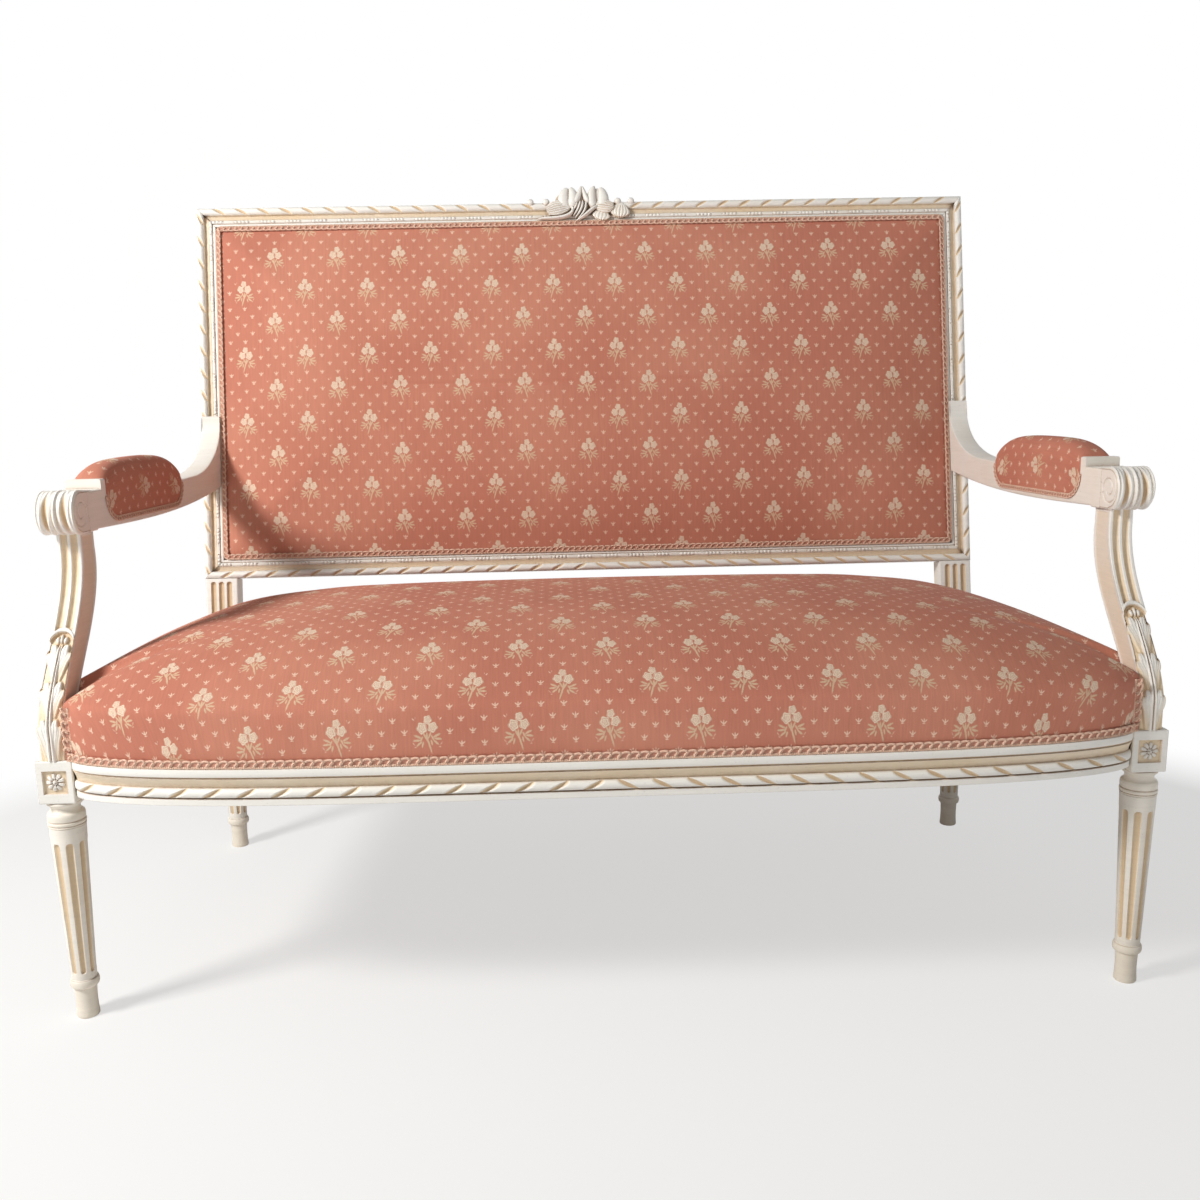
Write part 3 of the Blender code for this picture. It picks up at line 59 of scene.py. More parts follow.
# Places shared by every piece, in metres. y is counted from the line of the front legs,
# and addPiece shifts each finished mesh by frontLegLine to the frame's own origin.
frontLegLine = -0.30604
settee = {
    "backHalf": 0.6125, "frontHalf": 0.625, "rearHalf": 0.58725, "legDepth": 0.532,
    "railTop": 0.3195, "railFoot": 0.277, "blockFoot": 0.2695, "blockHalf": 0.0205,
    "backRake": math.radians(11.0), "backFootY": 0.543, "backFootZ": 0.4418, "backHeight": 0.588,
    "mouldingWidth": 0.029, "coreDepth": 0.012, "backThickness": 0.034, "gap": 0.0003,
    "stileWidth": 0.046, "rearBlockHalf": 0.02525, "postWidth": 0.050, "mitreGap": 0.00045,
}
railReach = settee["frontHalf"] - settee["blockHalf"]
sideOuter = settee["frontHalf"] + settee["blockHalf"]
splay = (settee["frontHalf"] - settee["rearHalf"]) / settee["legDepth"]


# Shapes: points, four-sided and three-sided faces, and marks per point (u, v, glaze)

def gridQuads(rows, columns, closeRows):
    # corner numbers of every cell of a rows x columns grid of points whose columns close to a ring
    r = np.arange(rows if closeRows else rows - 1)
    r, c = [a.ravel() for a in np.meshgrid(r, np.arange(columns), indexing="ij")]
    nextR = (r + 1) % rows
    nextC = (c + 1) % columns
    return np.stack([r * columns + c, r * columns + nextC, nextR * columns + nextC, nextR * columns + c], 1)


def outward(shape):
    # faces turned so that the enclosed volume, the sum of p0 . (p1 x p2) / 6, is positive
    p = shape["points"] - shape["points"].mean(0)
    q, t = shape["quads"], shape["tris"]
    corners = np.concatenate([q[:, [0, 1, 2]], q[:, [0, 2, 3]], t])
    a, b, c = p[corners[:, 0]], p[corners[:, 1]], p[corners[:, 2]]
    if np.einsum("ij,ij->", a, np.cross(b, c)) < 0:
        shape["quads"] = q[:, ::-1]
        shape["tris"] = t[:, ::-1]
    return shape


def carried(rings, marks=(0, 0, 0), ring=False):
    # a closed section carried along a path: rings is stations x around x 3, the ends closed by fans
    rings = np.asarray(rings, float)
    stations, around = rings.shape[:2]
    marks = np.broadcast_to(marks, (stations, around, 3)).astype(float)
    points = rings.reshape(-1, 3)
    values = marks.reshape(-1, 3)
    tris = np.zeros((0, 3), int)
    if not ring:
        first = len(points)
        i = np.arange(around)
        j = (i + 1) % around
        last = (stations - 1) * around
        points = np.vstack([points, rings[0].mean(0), rings[-1].mean(0)])
        values = np.vstack([values, marks[0].mean(0), marks[-1].mean(0)])
        near = np.stack([j, i, np.full(around, first)], 1)
        far = np.stack([i + last, j + last, np.full(around, first + 1)], 1)
        tris = np.concatenate([near, far])
    quads = gridQuads(stations, around, ring)
    return outward({"points": points, "quads": quads, "tris": tris, "marks": values})


def joined(*shapes):
    # several shapes as one mesh
    start = np.cumsum([0] + [len(s["points"]) for s in shapes[:-1]])
    return {
        "points": np.vstack([s["points"] for s in shapes]),
        "quads": np.vstack([s["quads"] + n for s, n in zip(shapes, start)]),
        "tris": np.vstack([s["tris"] + n for s, n in zip(shapes, start)]),
        "marks": np.vstack([s["marks"] for s in shapes]),
    }


def mirrored(shape):
    # the same shape on the other side of x = 0
    return {
        "points": shape["points"] * [-1, 1, 1],
        "quads": shape["quads"][:, ::-1],
        "tris": shape["tris"][:, ::-1],
        "marks": shape["marks"] * [-1, 1, 1],
    }


def boxRings(x, y, z, ease=0.0006):
    # a box between pairs of places, its edges eased by a small round
    def ring(height, inset):
        a, b = x[0] + inset, x[1] - inset
        c, d = y[0] + inset, y[1] - inset
        e = ease
        corners = [(a + e, c), (b - e, c), (b, c + e), (b, d - e),
                   (b - e, d), (a + e, d), (a, d - e), (a, c + e)]
        return [(px, py, height) for px, py in corners]

    levels = [(z[0], ease), (z[0] + ease, 0), (z[1] - ease, 0), (z[1], ease)]
    return carried([ring(h, inset) for h, inset in levels])


def smooth(value, low, high):
    # 0 below low, 1 above high, with a soft rise between
    t = np.clip((value - low) / (high - low), 0, 1)
    return t * t * (3 - 2 * t)


def unit(vectors):
    # vectors as directions of length 1
    return vectors / np.linalg.norm(vectors, axis=-1, keepdims=True)


def runLength(line):
    # how far along a line each of its points lies
    return np.concatenate([[0], np.cumsum(np.linalg.norm(np.diff(line, axis=0), axis=1))])


def pointsAt(place, length, line):
    # the points of a line that lie so far along it
    return np.stack([np.interp(place, length, column) for column in line.T], 1)


def eased(grid, times):
    # a grid whose inner rows are averaged with their neighbours
    for _ in range(times):
        grid[1:-1] = (grid[:-2] + 2 * grid[1:-1] + grid[2:]) / 4
    return grid


def blurred(grid, times):
    # a grid of depths averaged both ways, so that cuts have no stepped edges
    grid = grid + 0.0
    for _ in range(times):
        eased(grid, 1)
        eased(grid.T, 1)
    return grid


def domed(square):
    # the height of a round form, from a place's squared distance over the form's own size
    return np.sqrt(np.clip(1 - square, 0, 1))


def bothSides(half):
    # a closed line in plan from its half at +X
    return np.concatenate([half, (half * [-1, 1])[-2:0:-1]])


def marked(glaze, u=0.0, v=0.0):
    # the marks of a grid of points
    return np.stack(np.broadcast_arrays(u, v, glaze), -1)


def addPiece(name, shape, material, slot, replaces=(), sharp=40.0):
    # the shape as an object of the settee that rides on its body
    mesh = bpy.data.meshes.new(name)
    points = shape["points"] + [0, frontLegLine, 0]
    quads, tris = shape["quads"], shape["tris"]
    corners = np.concatenate([quads.ravel(), tris.ravel()]).astype(np.int32)
    sizes = np.concatenate([np.full(len(quads), 4), np.full(len(tris), 3)])
    mesh.vertices.add(len(points))
    mesh.vertices.foreach_set("co", points.astype(np.float32).ravel())
    mesh.loops.add(len(corners))
    mesh.loops.foreach_set("vertex_index", corners)
    mesh.polygons.add(len(sizes))
    mesh.polygons.foreach_set("loop_start", (np.cumsum(sizes) - sizes).astype(np.int32))
    mesh.update(calc_edges=True)
    layer = mesh.uv_layers.new(name="UVMap")
    layer.data.foreach_set("uv", shape["marks"][corners, :2].astype(np.float32).ravel())
    glaze = mesh.attributes.new("glaze", "FLOAT", "POINT")
    glaze.data.foreach_set("value", shape["marks"][:, 2].astype(np.float32))
    mesh.materials.append(material)
    mesh.shade_smooth()
    mesh.set_sharp_from_angle(angle=math.radians(sharp))
    made = bpy.data.objects.new(name, mesh)
    bpy.context.scene.collection.objects.link(made)
    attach(made, "root")
    if replaces:
        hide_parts(*replaces)
    return made


def addPair(name, shape, material, slot, replaces=(), sharp=40.0):
    # the shape at +X as the right piece, and its mirror image as the left one
    right = addPiece(name + "_right", shape, material, slot, [n + "_right" for n in replaces], sharp)
    left = addPiece(name + "_left", mirrored(shape), material, slot, [n + "_left" for n in replaces], sharp)
    return left, right


def raked(x, depth, height):
    # the back's own plane (across, depth behind its front, height up the rake) to the settee
    x, depth, height = np.broadcast_arrays(x, depth, height)
    sine, cosine = math.sin(settee["backRake"]), math.cos(settee["backRake"])
    y = settee["backFootY"] + depth * cosine + height * sine
    z = settee["backFootZ"] - depth * sine + height * cosine
    return np.stack([x, y, z], -1)


def rakedPoints(local):
    # points of a grid from the back's own plane to the settee
    return raked(local[..., 0], local[..., 1], local[..., 2])


# Materials

def addNode(tree, kind, settings=None, **inputs):
    # a shader node; inputs are values or sockets, by name or as i0, i1 ...
    made = tree.nodes.new(kind)
    for key, value in (settings or {}).items():
        setattr(made, key, value)
    for key, value in inputs.items():
        numbered = key[0] == "i" and key[1:].isdigit()
        socket = made.inputs[int(key[1:])] if numbered else made.inputs[key.replace("_", " ")]
        if isinstance(value, bpy.types.NodeSocket):
            tree.links.new(value, socket)
        else:
            socket.default_value = value
    return made


def maths(tree, operation, a, b=0.0, c=0.0, clamp=False):
    made = addNode(tree, "ShaderNodeMath", {"operation": operation, "use_clamp": clamp}, i0=a, i1=b, i2=c)
    return made.outputs[0]


def blend(tree, factor, a, b, kind="MIX"):
    # two colours mixed
    made = addNode(tree, "ShaderNodeMix", {"data_type": "RGBA", "blend_type": kind}, i0=factor, i6=a, i7=b)
    return made.outputs[2]


def ranged(tree, value, low, high, start=0.0, end=1.0, kind="SMOOTHSTEP"):
    made = addNode(tree, "ShaderNodeMapRange", {"interpolation_type": kind},
                   Value=value, From_Min=low, From_Max=high, To_Min=start, To_Max=end)
    return made.outputs[0]


def vectors(tree, operation, a, b=(0, 0, 0), c=(0, 0, 0)):
    return addNode(tree, "ShaderNodeVectorMath", {"operation": operation}, i0=a, i1=b, i2=c).outputs[0]


def span(tree, vector):
    # the length of a vector
    return addNode(tree, "ShaderNodeVectorMath", {"operation": "LENGTH"}, i0=vector).outputs["Value"]


def scaled(tree, vector, factor):
    return addNode(tree, "ShaderNodeVectorMath", {"operation": "SCALE"}, i0=vector, Scale=factor).outputs[0]


def stripes(tree, direction, place, scale, distortion=0.8, detail=1.0, detailScale=2.0):
    # soft stripes from 0 to 1
    made = addNode(tree, "ShaderNodeTexWave", {"bands_direction": direction}, Vector=place, Scale=scale,
                   Distortion=distortion, Detail=detail, Detail_Scale=detailScale)
    return made.outputs["Fac"]


def noise(tree, vector, scale, detail=2.0, roughness=0.5):
    return addNode(tree, "ShaderNodeTexNoise", None, Vector=vector, Scale=scale, Detail=detail,
                   Roughness=roughness).outputs[0]


def stretched(tree, vector, scale, location=(0, 0, 0)):
    return addNode(tree, "ShaderNodeMapping", None, Vector=vector, Location=location, Scale=scale).outputs[0]


def newGroup(name, inputs, outputs):
    # an empty node group with its sockets
    tree = bpy.data.node_groups.new(name, "ShaderNodeTree")
    for direction, sockets in (("INPUT", inputs), ("OUTPUT", outputs)):
        for label, kind in sockets.items():
            tree.interface.new_socket(label, in_out=direction, socket_type="NodeSocket" + kind)
    return tree, tree.nodes.new("NodeGroupInput"), tree.nodes.new("NodeGroupOutput")


def newMaterial(name, **settings):
    # a Principled material; settings are plain values of its shader
    made = bpy.data.materials.new(name)
    made.use_nodes = True
    shader = made.node_tree.nodes["Principled BSDF"]
    for key, value in settings.items():
        shader.inputs[key.replace("_", " ")].default_value = value
    return made, made.node_tree, shader


def putOut(tree, result, **values):
    # what a group puts out, by socket name
    for label, value in values.items():
        tree.links.new(value, result.inputs[label])


def dress(tree, shader, colour, roughness, height, strength, distance):
    # a material's colour, roughness and bump on its shader
    bump = addNode(tree, "ShaderNodeBump", None, Strength=strength, Distance=distance, Height=height)
    for label, value in (("Base Color", colour), ("Roughness", roughness), ("Normal", bump.outputs[0])):
        tree.links.new(value, shader.inputs[label])


def clothPlace(tree):
    return addNode(tree, "ShaderNodeUVMap", {"uv_map": "UVMap"}).outputs[0]


# the glaze mark: white to cream paint up to 1, ochre painted shade above 1, and the cream share of the gimp's
# yarn
def glazeAndShadeOf(tree):
    return addNode(tree, "ShaderNodeAttribute", {"attribute_name": "glaze"}).outputs["Fac"]


def ownPlace(tree):
    return addNode(tree, "ShaderNodeTexCoord").outputs["Object"]


def rgb(red, green, blue):
    # a colour as the screen shows it, 0 to 255, as the shader wants it
    linear = [((c / 255 + 0.055) / 1.055) ** 2.4 if c > 10 else c / 255 / 12.92 for c in (red, green, blue)]
    return (*linear, 1.0)


# crevice ochre is partly an old wash and partly painted shade; the deepest hollows get painted shade in the
# dark dust colour, which the specks share
paintLooks = {
    "white": rgb(236, 233, 226), "cream": rgb(230, 208, 174), "ochre": rgb(146, 104, 62),
    "dustAndShade": rgb(108, 82, 54), "creviceReach": 0.007, "toneDrift": 0.16, "washAndShade": 0.70, "dirtAndShade": 0.55,
    "specks": 0.28, "plainGlaze": 0.45, "brushHeight": 0.00012,
}


def makeBrushedPaint():
    # brush marks and age of old paint, from a place on the piece and how open it lies: ochre in its crevices,
    # partly a wash and partly painted shade, and painted shade in its deepest hollows; a glaze of 1 is cream,
    # and what it has above that is ochre painted shade
    looks = paintLooks
    tree, source, result = newGroup(
        "brushedPaint",
        {"Vector": "Vector", "Glaze": "Float", "Openness": "Float"},
        {"Color": "Color", "Roughness": "Float", "Height": "Float"},
    )
    place, glaze, openness = [source.outputs[label] for label in ("Vector", "Glaze", "Openness")]
    broad = noise(tree, place, 9.0, 3.0, 0.6)
    fine = noise(tree, place, 140.0, 4.0, 0.65)
    streaks = noise(tree, stretched(tree, place, (18.0, 18.0, 240.0)), 1.0, 3.0, 0.7)
    drift = ranged(tree, broad, 0.35, 0.75, -looks["toneDrift"], looks["toneDrift"], "LINEAR")
    body = blend(tree, maths(tree, "ADD", glaze, drift, clamp=True), looks["white"], looks["cream"])
    # ochre where the piece is closed in, found by ambient occlusion: partly a wash, partly painted shade
    crevice = ranged(tree, openness, 0.92, 0.30)
    uneven = maths(tree, "MULTIPLY", crevice, ranged(tree, fine, 0.30, 0.70, 0.65, 1.25, "LINEAR"))
    washedAndShaded = maths(tree, "MULTIPLY", uneven, looks["washAndShade"], clamp=True)
    ochred = maths(tree, "MAXIMUM", washedAndShaded, maths(tree, "SUBTRACT", glaze, 1.0, clamp=True))
    wearAndShade = blend(tree, ochred, body, looks["ochre"])
    # painted shade: the deepest hollows darkened toward the dust colour
    deep = ranged(tree, openness, 0.45, 0.10)
    deepShaded = blend(tree, maths(tree, "MULTIPLY", deep, looks["dirtAndShade"]), wearAndShade, looks["dustAndShade"])
    specks = ranged(tree, noise(tree, place, 620.0, 1.0), 0.715, 0.76)
    chipped = blend(tree, maths(tree, "MULTIPLY", specks, looks["specks"]), deepShaded, looks["dustAndShade"])
    brushed = scaled(tree, chipped, ranged(tree, streaks, 0.30, 0.70, 0.955, 1.03, "LINEAR"))
    height = maths(tree, "ADD", maths(tree, "MULTIPLY", streaks, 0.6), maths(tree, "MULTIPLY", fine, 0.4))
    roughness = ranged(tree, fine, 0.25, 0.75, 0.40, 0.62, "LINEAR")
    putOut(tree, result, Color=brushed, Roughness=roughness, Height=height)
    return tree


brushedPaint = makeBrushedPaint()


def makeIvory(name, byMarks=True):
    # ivory paint: white on what stands out, cream in the panels, ochre where a brush can't wipe and as
    # painted shade in crevices
    made, tree, shader = newMaterial(name, Coat_Weight=0.06, Coat_Roughness=0.35)
    openness = addNode(tree, "ShaderNodeAmbientOcclusion", {"samples": 5, "only_local": True},
                       Distance=paintLooks["creviceReach"]).outputs["AO"]
    glaze = glazeAndShadeOf(tree) if byMarks else paintLooks["plainGlaze"]
    paint = addNode(tree, "ShaderNodeGroup", {"node_tree": brushedPaint}, Vector=ownPlace(tree),
                    Openness=openness, Glaze=glaze)
    dress(tree, shader, *[paint.outputs[label] for label in ("Color", "Roughness", "Height")], 0.5,
          paintLooks["brushHeight"])
    return made


clothLooks = {
    "ground": rgb(192, 122, 101), "faded": rgb(202, 135, 112), "bloom": rgb(236, 216, 192),
    "line": rgb(190, 132, 106), "leaf": rgb(218, 190, 158), "dot": rgb(240, 208, 184),
    "columns": 0.099, "rows": 0.106, "thread": 0.00075, "fray": 0.0018, "bare": 0.0165,
}
# each oval of a motif: middle, half sizes (millimetres) and turn (degrees)
sprigBlooms = [(0.8, 13.4, 4.4, 4.8, 10), (-5.6, 4.4, 5.6, 6.2, 14), (6.0, 5.0, 5.2, 5.6, -12)]
sprigLeaves = [
    (-10.4, -4.8, 4.4, 1.2, -24), (-11.4, -8.6, 4.2, 1.2, 4), (-9.0, -12.2, 4.0, 1.1, 38),
    (-6.4, -7.2, 3.0, 1.0, 62), (-5.2, -13.0, 3.2, 1.0, 74), (10.4, -3.8, 4.2, 1.2, 26),
    (11.6, -7.4, 4.0, 1.2, -6), (9.4, -11.0, 3.6, 1.1, -40), (5.8, -6.4, 3.2, 1.0, -62),
    (4.6, -11.0, 3.0, 1.0, -78), (-2.6, -4.0, 1.0, 4.8, 26), (2.6, -3.4, 1.0, 4.6, -24),
    (1.8, -13.0, 1.0, 9.4, 16), (-0.4, -5.0, 1.1, 4.6, 0),
]
starStrokes = [
    (-1.8, 0.5, 0.66, 2.6, 44), (0.0, 1.0, 0.68, 2.6, 0), (1.8, 0.5, 0.66, 2.6, -44),
    (0.0, -2.3, 1.9, 0.56, 0),
]


def ovalMask(tree, place, oval, softness):
    # one oval of a motif: how far out a place lies in it, its own centred place, and its mask
    x, y, across, along, turn = oval
    centred = addNode(tree, "ShaderNodeMapping", {"vector_type": "TEXTURE"}, Vector=place,
                      Location=(x / 1000, y / 1000, 0), Rotation=(0, 0, math.radians(turn)),
                      Scale=(across / 1000, along / 1000, 1)).outputs[0]
    reach = span(tree, centred)
    return reach, centred, ranged(tree, reach, 1.0 + softness, 1.0 - softness)


def largest(tree, values):
    found = values[0]
    for value in values[1:]:
        found = maths(tree, "MAXIMUM", found, value)
    return found


def makeSprig():
    # one woven sprig: three roses drawn in curling lines over spiky leaves and a stem, from a place in metres
    kinds = {"Bloom": "Float", "Line": "Float", "Leaf": "Float"}
    tree, source, result = newGroup("wovenSprig", {"Vector": "Vector"}, kinds)
    place = source.outputs["Vector"]
    blooms, lines = [], []
    for k, oval in enumerate(sprigBlooms):
        reach, centred, _ = ovalMask(tree, place, oval, 0.10)
        parts = addNode(tree, "ShaderNodeSeparateXYZ", None, i0=centred)
        angle = maths(tree, "ARCTAN2", parts.outputs[1], parts.outputs[0])
        petals = maths(tree, "SINE", maths(tree, "MULTIPLY_ADD", angle, 5.0, 2.1 * k))
        mask = ranged(tree, maths(tree, "MULTIPLY_ADD", petals, 0.10, reach), 1.08, 0.90)
        winding = maths(tree, "MULTIPLY_ADD", petals, 0.9, maths(tree, "MULTIPLY_ADD", reach, 7.4, angle))
        line = maths(tree, "POWER", maths(tree, "ABSOLUTE", maths(tree, "SINE", winding)), 0.6)
        blooms.append(mask)
        lines.append(maths(tree, "MULTIPLY", mask, line))
    leaves = [ovalMask(tree, place, oval, 0.22)[2] for oval in sprigLeaves]
    putOut(tree, result, Bloom=largest(tree, blooms), Line=largest(tree, lines), Leaf=largest(tree, leaves))
    return tree


wovenSprig = makeSprig()


def makeStar():
    # the small figure between the sprigs: three strokes that fan out over a foot
    tree, source, result = newGroup("wovenStar", {"Vector": "Vector"}, {"Star": "Float"})
    strokes = [ovalMask(tree, source.outputs["Vector"], oval, 0.25)[2] for oval in starStrokes]
    putOut(tree, result, Star=largest(tree, strokes))
    return tree


wovenStar = makeStar()


def makeSprigCloth():
    # the woven cloth: sprigs in a half-drop repeat, small stars between them and ribbed threads
    kinds = dict.fromkeys(("Bloom", "Line", "Leaf", "Star", "Thread", "Height"), "Float")
    tree, source, result = newGroup("sprigCloth", {"Vector": "Vector"}, kinds)
    flat = source.outputs["Vector"]
    jitter = addNode(tree, "ShaderNodeTexNoise", None, Vector=flat, Scale=1300.0, Detail=1.0).outputs["Color"]
    fray = (clothLooks["fray"], clothLooks["fray"], 0)
    shifted = vectors(tree, "MULTIPLY_ADD", vectors(tree, "SUBTRACT", jitter, (0.5, 0.5, 0.5)), fray, flat)

    def folded(cell, shift):
        # the cloth's place in its own cell of the repeat, from the cell's middle, and how far from it
        high = (cell[0] / 2, cell[1] / 2, 1)
        low = (-cell[0] / 2, -cell[1] / 2, -1)
        place = vectors(tree, "WRAP", vectors(tree, "SUBTRACT", shifted, shift), high, low)
        return place, span(tree, place)

    def halfDrop(cell, mirror):
        # the nearer of two motifs, one in the middle of each cell and one at its corners
        first, near = folded(cell, (0, 0, 0))
        second, far = folded(cell, (cell[0] / 2, cell[1] / 2, 0))
        if mirror:
            second = vectors(tree, "MULTIPLY", second, (-1, 1, 1))
        nearest = maths(tree, "LESS_THAN", near, far)
        mixed = addNode(tree, "ShaderNodeMix", {"data_type": "VECTOR"}, Factor=nearest, i4=second, i5=first)
        return mixed.outputs[1]

    cell = (clothLooks["columns"], clothLooks["rows"])
    local = halfDrop(cell, True)
    sprig = addNode(tree, "ShaderNodeGroup", {"node_tree": wovenSprig}, Vector=local)
    aside = span(tree, vectors(tree, "MULTIPLY", local, (1.0, 0.78, 0)))
    starPlace = halfDrop((cell[0] / 4, cell[1] / 4), False)
    star = addNode(tree, "ShaderNodeGroup", {"node_tree": wovenStar}, Vector=starPlace)
    dot = maths(tree, "MULTIPLY", star.outputs["Star"],
                ranged(tree, aside, clothLooks["bare"], clothLooks["bare"] + 0.002))
    weft = stripes(tree, "Y", flat, 0.314 / clothLooks["thread"])
    warp = stripes(tree, "X", flat, 0.314 / clothLooks["thread"] / 1.3)
    thread = maths(tree, "MULTIPLY", warp, maths(tree, "MULTIPLY_ADD", weft, 0.6, 0.4))
    raised = largest(tree, [sprig.outputs["Line"], sprig.outputs["Leaf"], dot])
    height = maths(tree, "ADD", maths(tree, "MULTIPLY", thread, 0.55), maths(tree, "MULTIPLY", raised, 0.9))
    drawn = {label: sprig.outputs[label] for label in ("Bloom", "Line", "Leaf")}
    putOut(tree, result, **drawn, Star=dot, Thread=thread, Height=height)
    return tree


sprigCloth = makeSprigCloth()


def makeCoral(name):
    # the coral cloth: a faded ground, the motifs woven on it, and threads that vary in tone
    looks = clothLooks
    made, tree, shader = newMaterial(name, Roughness=0.82, Sheen_Weight=0.05, Sheen_Roughness=0.45,
                                     Specular_IOR_Level=0.20)
    place = clothPlace(tree)
    cloth = addNode(tree, "ShaderNodeGroup", {"node_tree": sprigCloth}, Vector=place)
    cloud = noise(tree, ownPlace(tree), 5.0, 3.0, 0.55)
    slubs = noise(tree, stretched(tree, place, (420.0, 24.0, 1.0)), 1.0, 2.0, 0.6)
    grain = noise(tree, place, 1150.0, 1.0, 0.5)
    shown = blend(tree, ranged(tree, cloud, 0.35, 0.70), looks["ground"], looks["faded"])
    for label, colour in (("Star", "dot"), ("Leaf", "leaf"), ("Bloom", "line")):
        shown = blend(tree, maths(tree, "MULTIPLY", cloth.outputs[label], 0.85), shown, looks[colour])
    shown = blend(tree, cloth.outputs["Line"], shown, looks["bloom"])
    mixedTone = maths(tree, "ADD", maths(tree, "MULTIPLY_ADD", cloth.outputs["Thread"], 0.35, slubs),
                      maths(tree, "MULTIPLY", grain, 0.8))
    toned = scaled(tree, shown, ranged(tree, mixedTone, 0.55, 1.45, 0.84, 1.10, "LINEAR"))
    dress(tree, shader, toned, ranged(tree, slubs, 0.3, 0.7, 0.76, 0.90, "LINEAR"), cloth.outputs["Height"],
          0.55, 0.00030)
    return made


yarnLooks = {
    "darkPink": rgb(158, 84, 68), "lightPink": rgb(196, 122, 102), "darkCream": rgb(216, 168, 142),
    "lightCream": rgb(246, 222, 200), "age": rgb(150, 104, 76),
}


def makeBraidYarn():
    # gimp yarn: pink and cream strands twisted together, from how far along the cord it lies, each colour
    # striped from a dark to a light copy round the twist as painted shade and highlight
    made, tree, shader = newMaterial("gimpYarn", Roughness=0.80, Sheen_Weight=0.15, Specular_IOR_Level=0.25)
    along = clothPlace(tree)
    twist = stripes(tree, "DIAGONAL", along, 420.0, 1.0, 1.0, 1.0)
    wearAndShade = noise(tree, stretched(tree, along, (40.0, 40.0, 1.0)), 1.0, 2.0)
    # painted shade and highlight: the twist's stripes choose between the dark and light copy of each colour
    lit = ranged(tree, twist, 0.25, 0.75)
    mixed = blend(tree, glazeAndShadeOf(tree), *[blend(tree, lit, yarnLooks["dark" + kind], yarnLooks["light" + kind])
                                         for kind in ("Pink", "Cream")])
    aged = blend(tree, ranged(tree, wearAndShade, 0.45, 0.75, 0.0, 0.20, "LINEAR"), mixed, yarnLooks["age"])
    dress(tree, shader, aged, ranged(tree, wearAndShade, 0.3, 0.7, 0.72, 0.90, "LINEAR"), twist, 0.6, 0.0003)
    return made


ivory = makeIvory("ivoryPaint")
ivoryPlain = makeIvory("ivoryPlain", byMarks=False)
coralSeat = makeCoral("coralSeat")
coralBack = makeCoral("coralBack")
coralPads = makeCoral("coralPads")
gimpYarn = makeBraidYarn()
print("materials made")


# Mouldings

railLooks = {"cutPitch": 0.038, "cutLean": 1.80, "cutDepth": 0.0050, "cutHalf": 0.0058, "step": 0.0012,
             "bead": 0.0056, "bow": 0.060, "bowSquare": 4.5, "bowRound": 1.8, "frontSetback": 0.0035,
             "sideSetback": 0.002, "thickness": 0.034, "sideSteps": 470, "backGlaze": 0.6}
backLooks = {"cutPitch": 0.035, "cutLean": 1.60, "cutDepth": 0.0044, "cutHalf": 0.0052, "step": 0.0015,
             "bead": 0.0055, "beadPitch": 0.041, "beadLength": 0.0058, "beadCount": 4}
# the ochre at the bottom of a cut is painted shade
cutShade = 1.8  # how ochre the bottom of a cut is
plain = 9  # marks a row of a profile that lies on no bead


def twistCut(depth, across, along, looks, lead):
    # a round bead cut by a slanted lens every pitch: a hollow that is deepest near its steep edge, with a
    # raised lip; returns the profile's depth with the cuts, and how far each point lies inside one, which
    # turns the paint to ochre at the cut's bottom as painted shade
    onBead = across < 2
    place = np.where(onBead, across, 1)
    pitch = looks["cutPitch"]
    run = np.abs(along)
    middle = pitch * (np.floor(run / pitch) + 0.5)
    slant = run - middle - lead * looks["cutLean"] * looks["bead"] * place
    width = looks["cutHalf"] * np.clip(1 - place ** 2, 0, 1) ** 0.6 + 1e-5
    share = np.clip(-slant / width, -1.6, 1.6)
    hollow = np.clip(1 - np.abs(share) ** 2.4, 0, 1) ** 0.75 * (0.70 + 0.30 * share)
    lip = 0.0007 * np.exp(-((share + 1.2) / 0.25) ** 2) * np.clip(1 - place ** 2, 0, 1)
    cut = (looks["cutDepth"] * hollow - lip) * np.sqrt(np.clip(1 - across ** 2, 0.04, 1))
    return depth + blurred(np.where(onBead, cut, 0), 1), np.where(onBead, cutShade * hollow, -1)


def railProfile():
    # the seat rail's moulding from its top edge down: fillet, quirk, cove, twisted bead and foot fillet;
    # each row holds depth behind the edge, depth below the top, glaze and the place across the bead
    rows = [(0.0010, 0, 0, plain), (0.0003, 0.0003, 0, plain), (0, 0.0010, 0, plain), (0, 0.0045, 0, plain),
            (0, 0.0080, 0, plain), (0.0004, 0.0086, 0.3, plain), (0.0022, 0.0090, 1, plain),
            (0.0025, 0.0100, 1, plain), (0.0016, 0.0108, 0.7, plain), (0.0008, 0.0110, 0.3, plain)]
    for t in np.linspace(0, 1, 8):
        rows.append((0.0011 + 0.0068 * (1 - (1 - t) ** 1.7), 0.0114 + 0.0110 * t, 1.0, plain))
    for angle in np.radians(np.linspace(86, -86, 27)):
        up = math.sin(angle)
        rows.append((0.0072 - 0.0054 * math.cos(angle), 0.0282 - railLooks["bead"] * up, 0.0, up))
    rows += [(0.0076, 0.0343, 1, plain), (0.0052, 0.0350, 0.4, plain), (0.0046, 0.0354, 0, plain),
             (0.0046, 0.0385, 0, plain), (0.0046, 0.0418, 0, plain), (0.0053, 0.0425, 0, plain)]
    return np.array(rows) * [1, -1, 1, 1] + [0, settee["railTop"], 0, 0]


